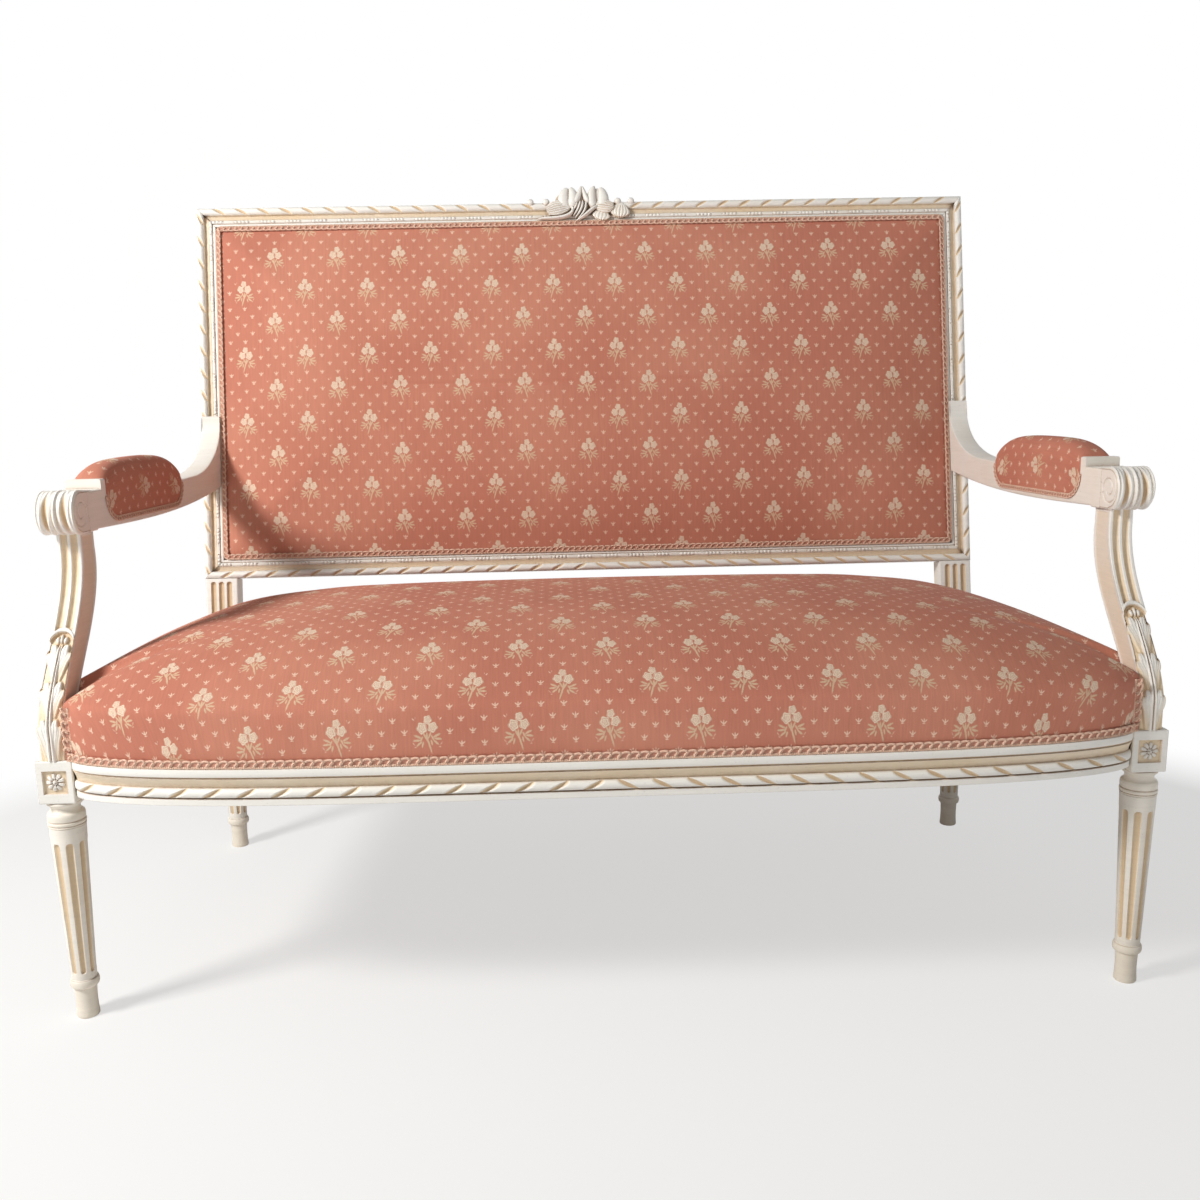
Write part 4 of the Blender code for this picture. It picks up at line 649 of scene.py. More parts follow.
def railFrontY(x):
    # outer edge of the front rail in plan: a flat bow (a superellipse) that turns back at its ends
    share = np.minimum(np.abs(x) / railReach, 1)
    bow = railLooks["bow"] * (1 - share ** railLooks["bowSquare"]) ** (1 / railLooks["bowRound"])
    return railLooks["frontSetback"] - settee["blockHalf"] - bow


def sideX(y):
    # outer line of the frame's side in plan
    return sideOuter - splay * y


def atHeight(plan, z):
    # a line in plan at one height
    return np.column_stack([plan, np.full(len(plan), z)])


def mouldedRail(plan, inward, back):
    # the rail's profile carried along a plan line; inward points from its edge into the rail, back closes it
    length = runLength(plan)
    depth, height, glaze, across = railProfile().T
    sunk, inside = twistCut(depth, across, (length - length[-1] / 2)[:, None], railLooks, -1.0)
    x, y = [plan[:, [k]] + inward[k] * sunk for k in (0, 1)]
    face = np.stack([x, y, np.broadcast_to(height, x.shape)], -1)
    behind = np.stack([atHeight(back, settee[level]) for level in ("railFoot", "railTop")], 1)
    # the cuts' glaze gives their bottoms ochre painted shade
    shown = np.where(inside < 0, glaze * 0.8, inside)
    shown = np.concatenate([shown, np.full((len(back), 2), railLooks["backGlaze"])], 1)
    return carried(np.concatenate([face, behind], 1), marked(shown))


def makeFrontRail():
    reach = railReach - settee["gap"]
    x = reach * np.sin(np.linspace(-1, 1, 4001) * math.pi / 2)
    line = np.stack([x, railFrontY(x)], 1)
    length = runLength(line)
    plan = pointsAt(np.linspace(0, length[-1], int(length[-1] / railLooks["step"])), length, line)
    back = 0.014 - 0.054 * (1 - (np.abs(plan[:, 0]) / railReach) ** 2)
    return mouldedRail(plan, (0, 1), np.stack([plan[:, 0], back], 1))


def makeSideRail():
    inset = settee["blockHalf"] + settee["gap"]
    y = np.linspace(inset, settee["legDepth"] - inset, railLooks["sideSteps"])
    x = sideX(y) - railLooks["sideSetback"]
    return mouldedRail(np.stack([x, y], 1), (-1, 0), np.stack([x - railLooks["thickness"], y], 1))


addPiece("frontRail", makeFrontRail(), ivory, "ivory_paint", ["front_seat_rail"])
addPair("sideRail", makeSideRail(), ivory, "ivory_paint", ["side_seat_rail"])


def backProfile():
    # the back's moulding from its outer edge in: bead, cove, pearl strip and fillet;
    # each row holds the inset, the depth, glaze, place across the bead and place across the pearls
    r = backLooks["bead"]
    rows = [(0, settee["coreDepth"], 0, plain, plain), (0, 0.009, 0, plain, plain)]
    for angle in np.radians(np.linspace(2, 168, 27)):
        rows.append((r - r * math.cos(angle), r - r * math.sin(angle), 0, -math.cos(angle), plain))
    rows += [(0.0112, 0.0062, 0.8, plain, plain), (0.0116, 0.0078, 1, plain, plain)]
    for t in np.linspace(0, 1, 6):
        rows.append((0.0121 + 0.0057 * t, 0.0084 - 0.0021 * t ** 2.2, 1, plain, plain))
    rows += [(0.0183, 0.0056, 0.5, plain, plain), (0.0188, 0.0060, 0.8, plain, plain)]
    for across in np.linspace(-1, 1, 9):
        rows.append((0.0218 + 0.0026 * across, 0.0058, 0.1, plain, across))
    inner = [(0.0249, 0.0062, 0.8), (0.0253, 0.0052, 0), (0.0257, 0.0049, 0), (0.0283, 0.0049, 0),
             (0.0289, 0.0053, 0), (0.0290, 0.0065, 0), (settee["mouldingWidth"], settee["coreDepth"], 0)]
    return np.array(rows + [(*row, plain, plain) for row in inner])


def pearls(along, across):
    # how far groups of round pearls, and the half-round bars between them, stand out of their strip
    looks = backLooks
    place = np.mod(along + looks["beadPitch"] / 2, looks["beadPitch"])
    group = looks["beadLength"] * looks["beadCount"]
    local = np.mod(place, looks["beadLength"]) / looks["beadLength"] * 2 - 1
    section = domed(across ** 2)
    pearl = domed(0.97 * local ** 2) * section * 0.0030
    bar = section * 0.0019 - 0.0005 * np.exp(-(across / 0.16) ** 2)
    ends = smooth(np.minimum(place - group, looks["beadPitch"] - place), 0, 0.0007)
    return np.where(place < group, pearl, bar * ends)


def backStrip(run):
    # one mitred length of the back's moulding; run is stile, top or bottom
    half, tall = settee["backHalf"], settee["backHeight"]
    inset, depth, glaze, across, pearl = backProfile().T
    count = int((tall if run == "stile" else 2 * half) / backLooks["step"])
    t = np.linspace(0, 1, count)[:, None]
    if run == "stile":
        height = inset + t * (tall - 2 * inset)
        x = half - inset + 0 * height
        along = height + 0.006
    else:
        x = (2 * t - 1) * (half - inset - settee["mitreGap"])
        height = (inset if run == "bottom" else tall - inset) + 0 * x
        along = x
    sunk, inside = twistCut(depth, across, along, backLooks, -1.0)
    sunk = sunk - np.where(pearl < 2, pearls(along, np.where(pearl < 2, pearl, 1)), 0)
    # the cuts' glaze gives their bottoms ochre painted shade
    return carried(raked(x, sunk, height), marked(np.where(inside < 0, glaze * 0.8, inside)))


def rakedBox(x, depth, height, ease=0.0006):
    # an eased box in the back's plane
    shape = boxRings(x, depth, height, ease)
    shape["points"] = raked(*shape["points"].T)
    shape["marks"][:, 2] = 0.5
    return shape


def makeBackRail(run):
    half, tall, stile, gap = [settee[k] for k in ("backHalf", "backHeight", "stileWidth", "gap")]
    low = 0.0004 if run == "bottom" else tall - stile
    reach = half - stile - gap
    depth = (settee["coreDepth"] - gap, settee["backThickness"])
    return joined(backStrip(run), rakedBox((-reach, reach), depth, (low, low + stile - 0.0004)))


postLooks = {"foot": -0.1368, "head": -0.0004, "front": 0.004, "back": 0.0338, "grooves": 3, "radius": 0.0043,
             "grooveFoot": 0.016, "grooveHead": 0.005, "glaze": 1.35}


def makePost():
    # the reeded post between the seat and the back, its front cut with round-ended grooves
    looks = postLooks
    half, width, low, high = settee["backHalf"], settee["postWidth"], looks["foot"], looks["head"]
    x = np.linspace(half - width, half - 0.0006, 73)
    h = np.concatenate([np.linspace(low, low + 0.03, 12), np.linspace(low + 0.032, high - 0.010, 20),
                        np.linspace(high - 0.009, high, 14)])
    across, up = np.meshgrid(x, h)
    ends = np.minimum(up - (low + looks["grooveFoot"]), (high - looks["grooveHead"]) - up)
    room = looks["radius"] ** 2 * (1 - (1 - np.clip(ends / looks["radius"], 0, 1)) ** 2)
    sunk = np.zeros_like(across)
    for k in range(1, looks["grooves"] + 1):
        middle = half - width + width * k / (looks["grooves"] + 1)
        sunk = np.maximum(sunk, np.sqrt(np.clip(room - (across - middle) ** 2, 0, None)) * 0.9)
    sunk += 0.0008 * (1 - smooth(np.minimum(across - x[0], x[-1] - across), 0, 0.0012))
    front = raked(across, looks["front"] + sunk, up)
    behind = np.stack([raked(x[-1] + 0 * h, looks["back"], h), raked(x[0] + 0 * h, looks["back"], h)], 1)
    # the grooves go from white to cream with depth, and to ochre at their bottoms in painted shade
    glaze = np.concatenate([looks["glaze"] * smooth(sunk, 0.0008, 0.0026), np.full((len(h), 2), 0.5)], 1)
    return carried(np.concatenate([front, behind], 1), marked(glaze))


legLooks = {"headZ": 0.2385, "ankleZ": 0.049, "footZ": 0.038, "headRadius": 0.0203, "footRadius": 0.014,
            "flutes": 8, "fluteHead": 0.2205, "fluteFoot": 0.0575, "fluteHalf": 0.222, "grooveNarrow": 0.0033,
            "grooveWidening": 0.0014, "grooveDepth": 0.62}
# where the points of half a flute's sector lie (radians), closest at the flute's edge
flutePlaces = np.array([0, 0.065, 0.13, 0.18, 0.212, 0.228, 0.245, 0.28, 0.33])


def halfRound(middle, base, rise, half, count=9):
    # a small half-round ring of a turning, from its top down
    angles = np.linspace(math.pi / 2, -math.pi / 2, count)
    return [(base + rise * math.cos(a), middle + half * math.sin(a)) for a in angles]


def legProfile():
    # the turning from the block down, each row a radius and a height: ring, cove and rings of the neck, the
    # tapered shaft, the ankle's ring and the foot
    looks = legLooks
    top, head, ankle, foot = settee["blockFoot"], looks["headZ"], looks["ankleZ"], looks["footZ"]
    fluteHead, fluteFoot, thin = looks["fluteHead"], looks["fluteFoot"], looks["footRadius"]
    rows = [(0.0196, top + 0.0005)] + halfRound(top - 0.0026, 0.0186, 0.0016, 0.0022)
    for t in np.linspace(0, 1, 12):
        rows.append((0.0180 - 0.0024 * math.sin(math.pi * t) ** 0.8 + 0.0008 * t, top - 0.0056 - 0.0086 * t))
    for angle in np.linspace(0, math.pi / 2, 9)[1:]:
        rows.append((0.0186 + 0.0021 * math.sin(angle), top - 0.0142 - 0.0042 * (1 - math.cos(angle))))
    rows += [(0.0207, top - 0.0210), (0.0204, top - 0.0232), (0.0196, top - 0.0238)]
    rows += halfRound(head + 0.0046, 0.0198, 0.0014, 0.0022)
    rows += [(0.0199, head + 0.0021)] + halfRound(head + 0.0009, 0.0199, 0.0009, 0.0011, 7)
    rows += [(looks["headRadius"], head - 0.0006)]
    taper = (looks["headRadius"] - thin) / (head - ankle)
    for high, low, count in ((head - 0.002, fluteHead + 0.001, 6), (fluteHead, fluteHead - 0.007, 12),
                             (fluteHead - 0.010, fluteFoot + 0.008, 34), (fluteFoot + 0.006, fluteFoot, 9),
                             (fluteFoot - 0.001, ankle + 0.0004, 5)):
        rows += [(thin + taper * (z - ankle), z) for z in np.linspace(high, low, count)]
    rows += [(0.0150, ankle - 0.0003)]
    rows += halfRound((ankle + foot) / 2, 0.0146, 0.0019, (ankle - foot) / 2 - 0.0006, 13)
    return rows + [(0.0128, foot - 0.0006), (0.0123, foot * 0.70), (0.0122, foot * 0.50),
                   (0.0125, foot * 0.25), (0.0130, 0.0040), (0.0130, 0.0012), (0.0122, 0.0)]


def makeTurnedLeg(x, y):
    # a turned, tapered leg: radius against height, less round-ended flutes round the shaft
    looks = legLooks
    head, ankle = looks["headZ"], looks["ankleZ"]
    radius, height = np.array(legProfile()).T
    sector = np.concatenate([[-0.3927], -flutePlaces[:0:-1], flutePlaces])
    step = 2 * math.pi / looks["flutes"]
    turn = (np.arange(looks["flutes"])[:, None] * step + step / 2 + sector).ravel()
    r, t = np.meshgrid(radius, np.tile(sector, looks["flutes"]), indexing="ij")
    z = np.broadcast_to(height[:, None], r.shape)
    groove = looks["grooveNarrow"] + looks["grooveWidening"] * np.clip((z - ankle) / (head - ankle), 0, 1)
    room = np.clip(np.minimum(looks["fluteHead"] - z, z - looks["fluteFoot"]) / groove, 0, 1)
    width = looks["fluteHalf"] * np.sqrt(1 - (1 - room) ** 2)
    hollow = domed((t / (width + 1e-6)) ** 2) * (room > 0) * groove * looks["grooveDepth"]
    rings = np.stack([x + (r - hollow) * np.cos(turn), y + (r - hollow) * np.sin(turn), z], -1)
    onShaft = (z < head) & (z > ankle)
    # on the shaft, white between the flutes and cream in them, turning ochre at their bottoms in painted
    # shade
    return carried(rings, marked(np.where(onShaft, 0.25 + smooth(hollow, 0.0004, 0.0018), 0.35)))


def carvedBlock(x, y, half, carvedFaces):
    # a square block over the leg, with a rosette on its carved faces, in the order front, right, rear, left
    low, high = settee["blockFoot"], settee["railTop"]
    rows = 69 if any(carvedFaces) else 7
    levels = np.concatenate([[0, 0.004, 0.012], np.linspace(0.03, 0.97, rows), [0.988, 0.996, 1]])
    up = (low + (high - low) * levels)[:, None]
    ends = np.minimum(levels, 1 - levels)[:, None] * (high - low)
    rounding = 0.0007 * (1 - smooth(ends, 0, 0.0009))
    rings, marks = [], []
    for isCarved, (dx, dy) in zip(carvedFaces, ((0, -1), (1, 0), (0, 1), (-1, 0))):
        reach, out = half if dy else half[::-1]
        columns = 63 if isCarved else 7
        u = np.concatenate([[-1.0, -0.985], np.linspace(-0.955, 0.955, columns), [0.985, 1.0]])
        across = u * reach
        corner = 0.0008 * (1 - smooth((1 - np.abs(u)) * reach, 0, 0.0010))
        sunk, glaze = rosette(across, up - (low + high) / 2) if isCarved else (0, 0.35 + 0 * across * up)
        far = out - sunk - rounding - corner
        side = across * (1 - rounding / reach)
        px, py = x + far * dx - side * dy, y + far * dy + side * dx
        rings.append(np.stack([px, py, up + 0 * px], -1)[:, :-1])
        marks.append(marked(glaze)[:, :-1])
    return carried(np.concatenate(rings, 1), np.concatenate(marks, 1))


rosetteLooks = {"panel": 0.0135, "depth": 0.0030, "radius": 0.0112, "petals": 9}


def rosette(across, up):
    # a sunk square panel with a daisy of ribbed petals round a small button
    looks = rosetteLooks
    edge = np.maximum(np.abs(across), np.abs(up))
    panel = 1 - smooth(edge, looks["panel"] - 0.0006, looks["panel"] + 0.0004)
    reach = np.hypot(across, up)
    turn = np.arctan2(up, across)
    wave = np.abs(np.cos(turn * looks["petals"] / 2))
    length = looks["radius"] * (0.62 + 0.38 * wave ** 0.7)
    petal = domed((reach / length) ** 2.6) * (0.30 + 0.70 * wave ** 0.8) * 0.0034
    rib = 0.0007 * np.exp(-((1 - wave) / 0.06) ** 2) * (reach < length)
    cup = 0.0012 * np.exp(-((reach - 0.0034) / 0.0011) ** 2)
    button = domed((reach / 0.0026) ** 2) * 0.0014
    flower = np.maximum(petal - rib - cup, 0) + button
    sunk = panel * looks["depth"] - flower * panel
    return sunk, panel * (1 - smooth(flower, 0.0004, 0.0012)) * 0.95


def makeFrontLeg():
    x, half = settee["frontHalf"], settee["blockHalf"]
    return joined(makeTurnedLeg(x, 0), carvedBlock(x, 0, (half, half), (1, 1, 0, 0)))


def makeRearPost():
    # rear leg, block, post and stile of one piece of wood
    x, y, half = settee["rearHalf"], settee["legDepth"], settee["backHalf"]
    block = carvedBlock(x, y, (settee["rearBlockHalf"], settee["blockHalf"]), (0, 0, 0, 0))
    depth = (settee["coreDepth"], settee["backThickness"])
    across = (half - settee["stileWidth"], half - 0.0004)
    stile = rakedBox(across, depth, (-0.0004, settee["backHeight"] - 0.0004))
    return joined(makeTurnedLeg(x, y), block, makePost(), backStrip("stile"), stile)


addPair("frontLeg", makeFrontLeg(), ivory, "ivory_paint", ["front_leg"])
addPair("rearPost", makeRearPost(), ivory, "ivory_paint", ["rear_post"])
addPiece("backBottomRail", makeBackRail("bottom"), ivory, "ivory_paint", ["back_bottom_rail"])
print("mouldings, legs and posts made")


# The crest carved in the top rail

def curve(points, count):
    # a smooth line drawn by its control points (a Bezier curve)
    points = np.asarray(points, float)
    t = np.linspace(0, 1, count)[:, None]
    order = len(points) - 1
    return sum(math.comb(order, k) * (1 - t) ** (order - k) * t ** k * p for k, p in enumerate(points))


def carvedLeaf(spine, half, rise, depths, belly, blunt, lobes=0, midrib=0.0, back=5.0):
    # a petal or leaf, in millimetres: a pillow along a curved spine of (across, height above the back's top),
    # widest where belly says, with a sunk midrib, or with lobes that fan out from its root and notch its far
    # edge; depths are those of its root and tip
    stations, around = (45, 84) if lobes else (31, 30)
    line = curve(spine, stations)
    along = unit(np.gradient(line, axis=0))
    t = np.linspace(0.012, 0.988, stations)[:, None]
    shape = np.sin(math.pi * (0.87 if lobes else 1.0) * t ** belly) ** blunt
    turn = np.linspace(0, 2 * math.pi, around, endpoint=False)
    u, lift = np.cos(turn), np.sin(turn)
    front = np.clip(lift, 0, 1) ** 0.75
    vein = (0.5 + 0.5 * np.cos(math.pi * lobes * (u + 1))) * smooth(t, 0.04, 0.3) if lobes else 0 * u * t
    groove = 0.20 * vein ** 2 + (0 if lobes else midrib * np.exp(-(u / 0.11) ** 2))
    base = depths[0] + (depths[1] - depths[0]) * t ** 1.5
    depth = base - rise * shape * front * (1 - groove * (front > 0.20)) + back * shape * np.clip(-lift, 0, 1)
    side = half * shape * u
    shorter = (1.3 * vein + 3.2 * u ** 2) * t ** 4 * (lobes > 0)
    x = line[:, :1] + along[:, 1:] * side - along[:, :1] * shorter
    h = line[:, 1:] - along[:, :1] * side - along[:, 1:] * shorter
    glaze = np.where(lift > 0.20, np.clip(groove * 3.0 - 0.1, 0, 0.9), 0.7)
    return carried(raked(x / 1000, depth / 1000, settee["backHeight"] + h / 1000), marked(glaze))


def berry(x, h, radius):
    spine = [(x, h - radius), (x, h + radius)]
    return carvedLeaf(spine, radius, radius * 0.9, (1.5, 1.5), 1.0, 0.5, back=radius * 0.8)


# spine, half width, rise, depths, belly and bluntness of each leaf; some have lobes, and one a midrib
crestLeaves = [
    ([(-22, -10), (-22, 4), (-21, 20.0)], 14.0, 4.5, (2, 1), 0.95, 0.34),
    ([(-25, -12), (-34, 5), (-23, 21.0)], 9.2, 7.5, (1, -1), 0.66, 0.44),
    ([(-18, -10), (-9, 6), (-18.5, 21.5)], 8.6, 9.0, (1, -1), 0.70, 0.44),
    ([(27, -10), (28, 4), (27, 20.5)], 13.0, 4.5, (2, 1), 0.95, 0.34),
    ([(20, -11), (11, 6), (20.5, 23.5)], 7.6, 8.5, (1, -1), 0.70, 0.44),
    ([(30, -12), (39, 5), (29, 21.0)], 9.4, 8.0, (1, -1), 0.66, 0.44),
    ([(-13, -3), (-6, 4), (-2.5, 13), (-0.6, 24)], 5.8, 8.5, (0, -1), 0.50, 0.52),
    ([(11, -3), (6.5, 4), (3.5, 13), (1.2, 24)], 5.0, 8.5, (0, -1), 0.50, 0.52),
    ([(0, -6), (0, 4), (0.4, 18)], 3.0, 2.5, (1, 0), 0.70, 0.6, 0, 0.4),
    ([(-7, 0), (-8, -8), (-16, -17)], 2.3, 6.5, (0, 0), 0.8, 0.4),
    ([(-3, 1), (-2.5, -11), (-14, -23)], 2.5, 8.0, (0, 0), 0.8, 0.4),
    ([(1, 1), (3, -13), (-11, -26)], 2.5, 8.5, (0, 0), 0.8, 0.4),
    ([(6, 0), (9, -16), (-7, -28)], 2.4, 8.0, (0, 0), 0.8, 0.4),
    ([(27, -8), (15, -11), (6, -25), (-9, -30)], 2.9, 8.5, (0, 0), 0.8, 0.45),
    ([(-72, -28), (-56, -22), (-36, -30), (-13, -27), (-8, -14), (-15, -6), (-20, -11)],
     2.9, 7.5, (1, -1), 1.0, 0.45),
    ([(34, -10), (31, -20), (29, -31)], 14.5, 4.5, (1, -1), 1.4, 0.55, 5),
    ([(64, -1), (61, -14), (60, -27)], 16.0, 6.0, (1, -1), 1.4, 0.55, 6),
    ([(18, -7), (33, -7), (51, -12)], 11.0, 7.5, (0, -1), 1.15, 0.50, 6),
    ([(-17, -7), (-34, -8), (-57, -15)], 12.6, 7.0, (0, -1), 1.05, 0.50, 7),
]
crestBerries = [(-82, 0.0, 5.3), (-57, 0.0, 5.5), (57.5, 0.0, 5.5), (78.6, 0.2, 5.3)]


def crestBacking():
    # the wood behind the crest, which follows its outline a little lower; each corner of its section is
    # a depth, a height and the share of the outline's height that it has
    x = np.linspace(-0.042, 0.044, 60)
    mm = x * 1000
    peaks = [(-40, 3), (-33, 13), (-20.7, 19), (-11, 13), (0, 21), (8, 12), (20, 20), (27, 16), (34.7, 15.5),
             (41, 3)]
    top = np.max([h * domed(((mm - place) / 9.5) ** 2) for place, h in peaks], 0) / 1000
    section = [(0.002, -0.004, 0.0), (0.002, 0.0, 0.92), (0.0032, 0.0, 1.0), (0.017, 0.0, 1.0),
               (0.0195, 0.0, 0.85), (0.0205, -0.004, 0.0)]
    rings = [raked(x, d, settee["backHeight"] + h + top * share) for d, h, share in section]
    return carried(np.stack(rings, 1), (0, 0, 0.6))


def makeCrest():
    forms = [carvedLeaf(*leaf) for leaf in crestLeaves] + [berry(*b) for b in crestBerries]
    return joined(*forms, crestBacking())


addPiece("backTopRail", joined(makeBackRail("top"), makeCrest()), ivory, "ivory_paint", ["back_top_rail"])
print("crest carved")


# Arm supports and arms

supportLooks = {
    "x": 0.6255, "halfFoot": 0.015, "halfHead": 0.014, "foot": 0.3198, "head": 0.5657, "band": 0.4585,
    "bandDrop": 0.0105, "bandHalf": 0.0024, "fluteHead": 0.5720, "fluteSide": 0.0058, "fluteRadius": 0.0041,
    "fluteDepth": 0.0040, "recess": 0.0042, "sweepFoot": 0.355, "sweepHeight": 0.190, "front": -0.0215,
    "sweep": 0.105, "depth": 0.041, "belly": 0.008,
}


def supportSweep(z):
    # front and rear line of the S-curve: upright at the foot, swept back by a sine, upright at the head
    looks = supportLooks
    share = np.clip((z - looks["sweepFoot"]) / looks["sweepHeight"], 0, 1)
    front = looks["front"] + looks["sweep"] * np.sin(share * math.pi / 2) ** 1.6
    return front, front + looks["depth"] + looks["belly"] * np.sin(share * math.pi)


supportTiers = [(0.4060, 0.4440), (0.3665, 0.4070), (0.3100, 0.3685)]
# the two lobes of a tier on each side: start and end (from the middle), how far below the tier's tip it ends,
# half width at its foot and head, rise, all in millimetres
tierLobes = [(1.2, 8.0, 0.0, 1.6, 5.8, 5.2), (4.6, 12.4, 8.0, 2.4, 4.9, 4.2)]


def leafTiers(u, z):
    # lobes that sweep up and outward from the stem to round tips, each set in the tier below it
    total = np.zeros(np.broadcast(u, z).shape)
    for low, tip in supportTiers:
        for start, end, drop, narrow, wide, high in np.array(tierLobes) / 1000:
            top = tip - drop
            t = (z - low) / (top - low)
            inside = (t > 0) & (t < 1)
            t = np.clip(t, 0, 1)
            centre = start + (end - start) * t ** 1.25
            cap = domed((np.clip(t - 0.74, 0, 1) / 0.26) ** 2)
            width = (narrow + (wide - narrow) * np.sin(math.pi / 2 * t ** 0.7)) * (0.25 + 0.75 * cap)
            off = (u - centre) / width
            ridge = domed(off ** 2) * (1 - 0.16 * np.exp(-((off - 0.1) / 0.20) ** 2))
            lift = np.where(off < 0, 0.40 + 0.60 * t ** 0.8, 0.50 + 0.50 * t)
            total = np.maximum(total, high * ridge * lift * cap ** 0.5 * inside)
    return total


def supportRelief(u, z, half):
    # how deep the front is cut at u from its middle line: leaf tiers, stem, curls and bud in a recess below
    # an arched band, and two grooves above it; also how far a place lies in the part above
    looks = supportLooks
    stemPlace = 0.0012 + 0.0012 * np.clip((looks["band"] - z) / 0.125, 0, 1.1)
    stem = 0.0050 * domed(((u - stemPlace) / (stemPlace + 0.0002)) ** 2) * smooth(0.446 - z, -0.003, 0.010)
    curl = 0.0044 * domed(((u - 0.0046) / 0.0028) ** 2 + ((z - 0.4478) / 0.0042) ** 2)
    bud = 0.0048 * domed((u / 0.0022) ** 2 + ((z - 0.4490) / 0.0056) ** 2)
    lower = looks["recess"] - np.maximum.reduce([leafTiers(u, z), stem, curl, bud]) + 0.0004
    ends = np.clip((looks["fluteHead"] - z) / looks["fluteRadius"], 0, 1)
    width = looks["fluteRadius"] * np.sqrt(1 - (1 - ends) ** 2) + 1e-6
    grooves = domed(((u - looks["fluteSide"]) / width) ** 2) * looks["fluteDepth"]
    arch = looks["band"] - looks["bandDrop"] * (u / half) ** 2.4
    band = domed(((z - arch) / looks["bandHalf"]) ** 2)
    above = smooth(z - arch, -0.0012, 0.0012)
    sunk = lower * (1 - above) + (grooves + 0.0009) * above
    return np.where(band > 0, np.minimum(sunk, 0.0022 - 0.0026 * band), sunk), above


def makeSupport():
    # the S-shaped support: its carved front, then its sides; the back face closes the ring between them
    looks = supportLooks
    foot, head = looks["foot"], looks["head"]
    arched = looks["band"] - 0.016, looks["band"] + 0.004
    z = np.concatenate([np.linspace(foot, arched[0], 170)[:-1], np.linspace(*arched, 48),
                        np.linspace(arched[1], head, 70)[1:]])[:, None]
    front, rear = supportSweep(z)
    slope = np.gradient(front[:, 0], z[:, 0])[:, None]
    tilt = np.sqrt(1 + slope ** 2)
    half = looks["halfFoot"] + (looks["halfHead"] - looks["halfFoot"]) * (z - foot) / (head - foot)
    across = np.linspace(-1, 1, 69)
    sunk, above = supportRelief(np.abs(across) * half, z, half)
    sunk = blurred(sunk, 1) + 0.0010 * (1 - smooth((1 - np.abs(across)) * half, 0, 0.0012))
    # the outline follows the lobes: it draws in where no lobe reaches the edge
    archFoot = looks["band"] - looks["bandDrop"]
    leafZone = 1 - smooth(z, archFoot - 0.002, archFoot + 0.001)
    scallop = 0.0016 * leafZone * (1 - smooth(leafTiers(np.full_like(z, 0.0139), z), 0.0, 0.0034))
    y = front + sunk / tilt
    faces = [np.stack([looks["x"] + across * (half - scallop), y, z - sunk * slope / tilt], -1)]
    marks = [marked(np.where(above > 0.5, smooth(sunk, 0.0012, 0.0034) * 0.95, smooth(sunk, 0.0004, 0.0030)))]
    for side in (1, -1):
        # a white border round a shallow cream panel
        v = np.linspace(0.0, 1.0, 31)[1:]
        v = v if side == 1 else 1 - v
        start = y[:, -1:] if side == 1 else y[:, :1]
        deep = rear - start
        border = np.minimum(v, 1 - v) * deep
        panel = smooth(border, 0.0038, 0.0050) * smooth(np.minimum(z - foot, head - z), 0.004, 0.006)
        easing = 0.0012 * (1 - smooth((1 - v) * deep, 0, 0.0016))
        out = half - 0.0011 * panel - easing - scallop * (1 - smooth(v, 0, 0.16))
        faces.append(np.stack([looks["x"] + side * out, start + deep * v, z + 0 * v], -1))
        marks.append(marked(panel * 0.55))
    return carried(np.concatenate(faces, 1), np.concatenate(marks, 1))


armLooks = {
    "frontY": 0.080, "rearY": 0.552, "middleFront": 0.6275, "middleRear": 0.5985, "halfFront": 0.0215,
    "halfRear": 0.0140, "under": 0.5645, "top": 0.6125, "stopFront": 0.138, "stopTop": 0.6245, "bed": 0.6065,
    "edge": 0.0022, "sweepFront": 0.455, "sweepTop": 0.694, "sweepRise": 0.0855, "jointFoot": 0.583,
    "archFront": 0.127, "archFoot": 0.566, "archRise": 0.017, "scrollZ": 0.590, "scrollRadius": 0.026,
    "scrollHalf": 0.0225, "scrollBack": 0.1376, "skirtFoot": 0.5745, "skirtRadius": 0.030,
    "skirtDepth": 0.003, "padFront": 0.150, "padRear": 0.398, "padTop": 0.646, "padEnd": 0.6225,
    "padPressure": 4.0, "mostMove": 0.0016,
}


def armLine(y):
    # the arm's middle line and half width in plan
    looks = armLooks
    share = (y - looks["frontY"]) / (looks["rearY"] - looks["frontY"])
    middle = looks["middleFront"] + (looks["middleRear"] - looks["middleFront"]) * share
    return middle, looks["halfFront"] + (looks["halfRear"] - looks["halfFront"]) * np.clip(share, 0, 1) ** 2


def stileFace(z):
    # where the arm's rear end meets the stile
    return settee["backFootY"] + math.tan(settee["backRake"]) * (z - settee["backFootZ"]) - 0.00045


def skirtLow(y, grow=0.0):
    # lower line of the pad's skirt: straight, with a quarter circle up at either end
    looks = armLooks
    radius = looks["skirtRadius"]
    near = np.clip(np.minimum(y - looks["padFront"] + grow, looks["padRear"] + grow - y), 0, radius)
    return looks["skirtFoot"] - grow + radius - np.sqrt(radius ** 2 - (radius - near) ** 2)


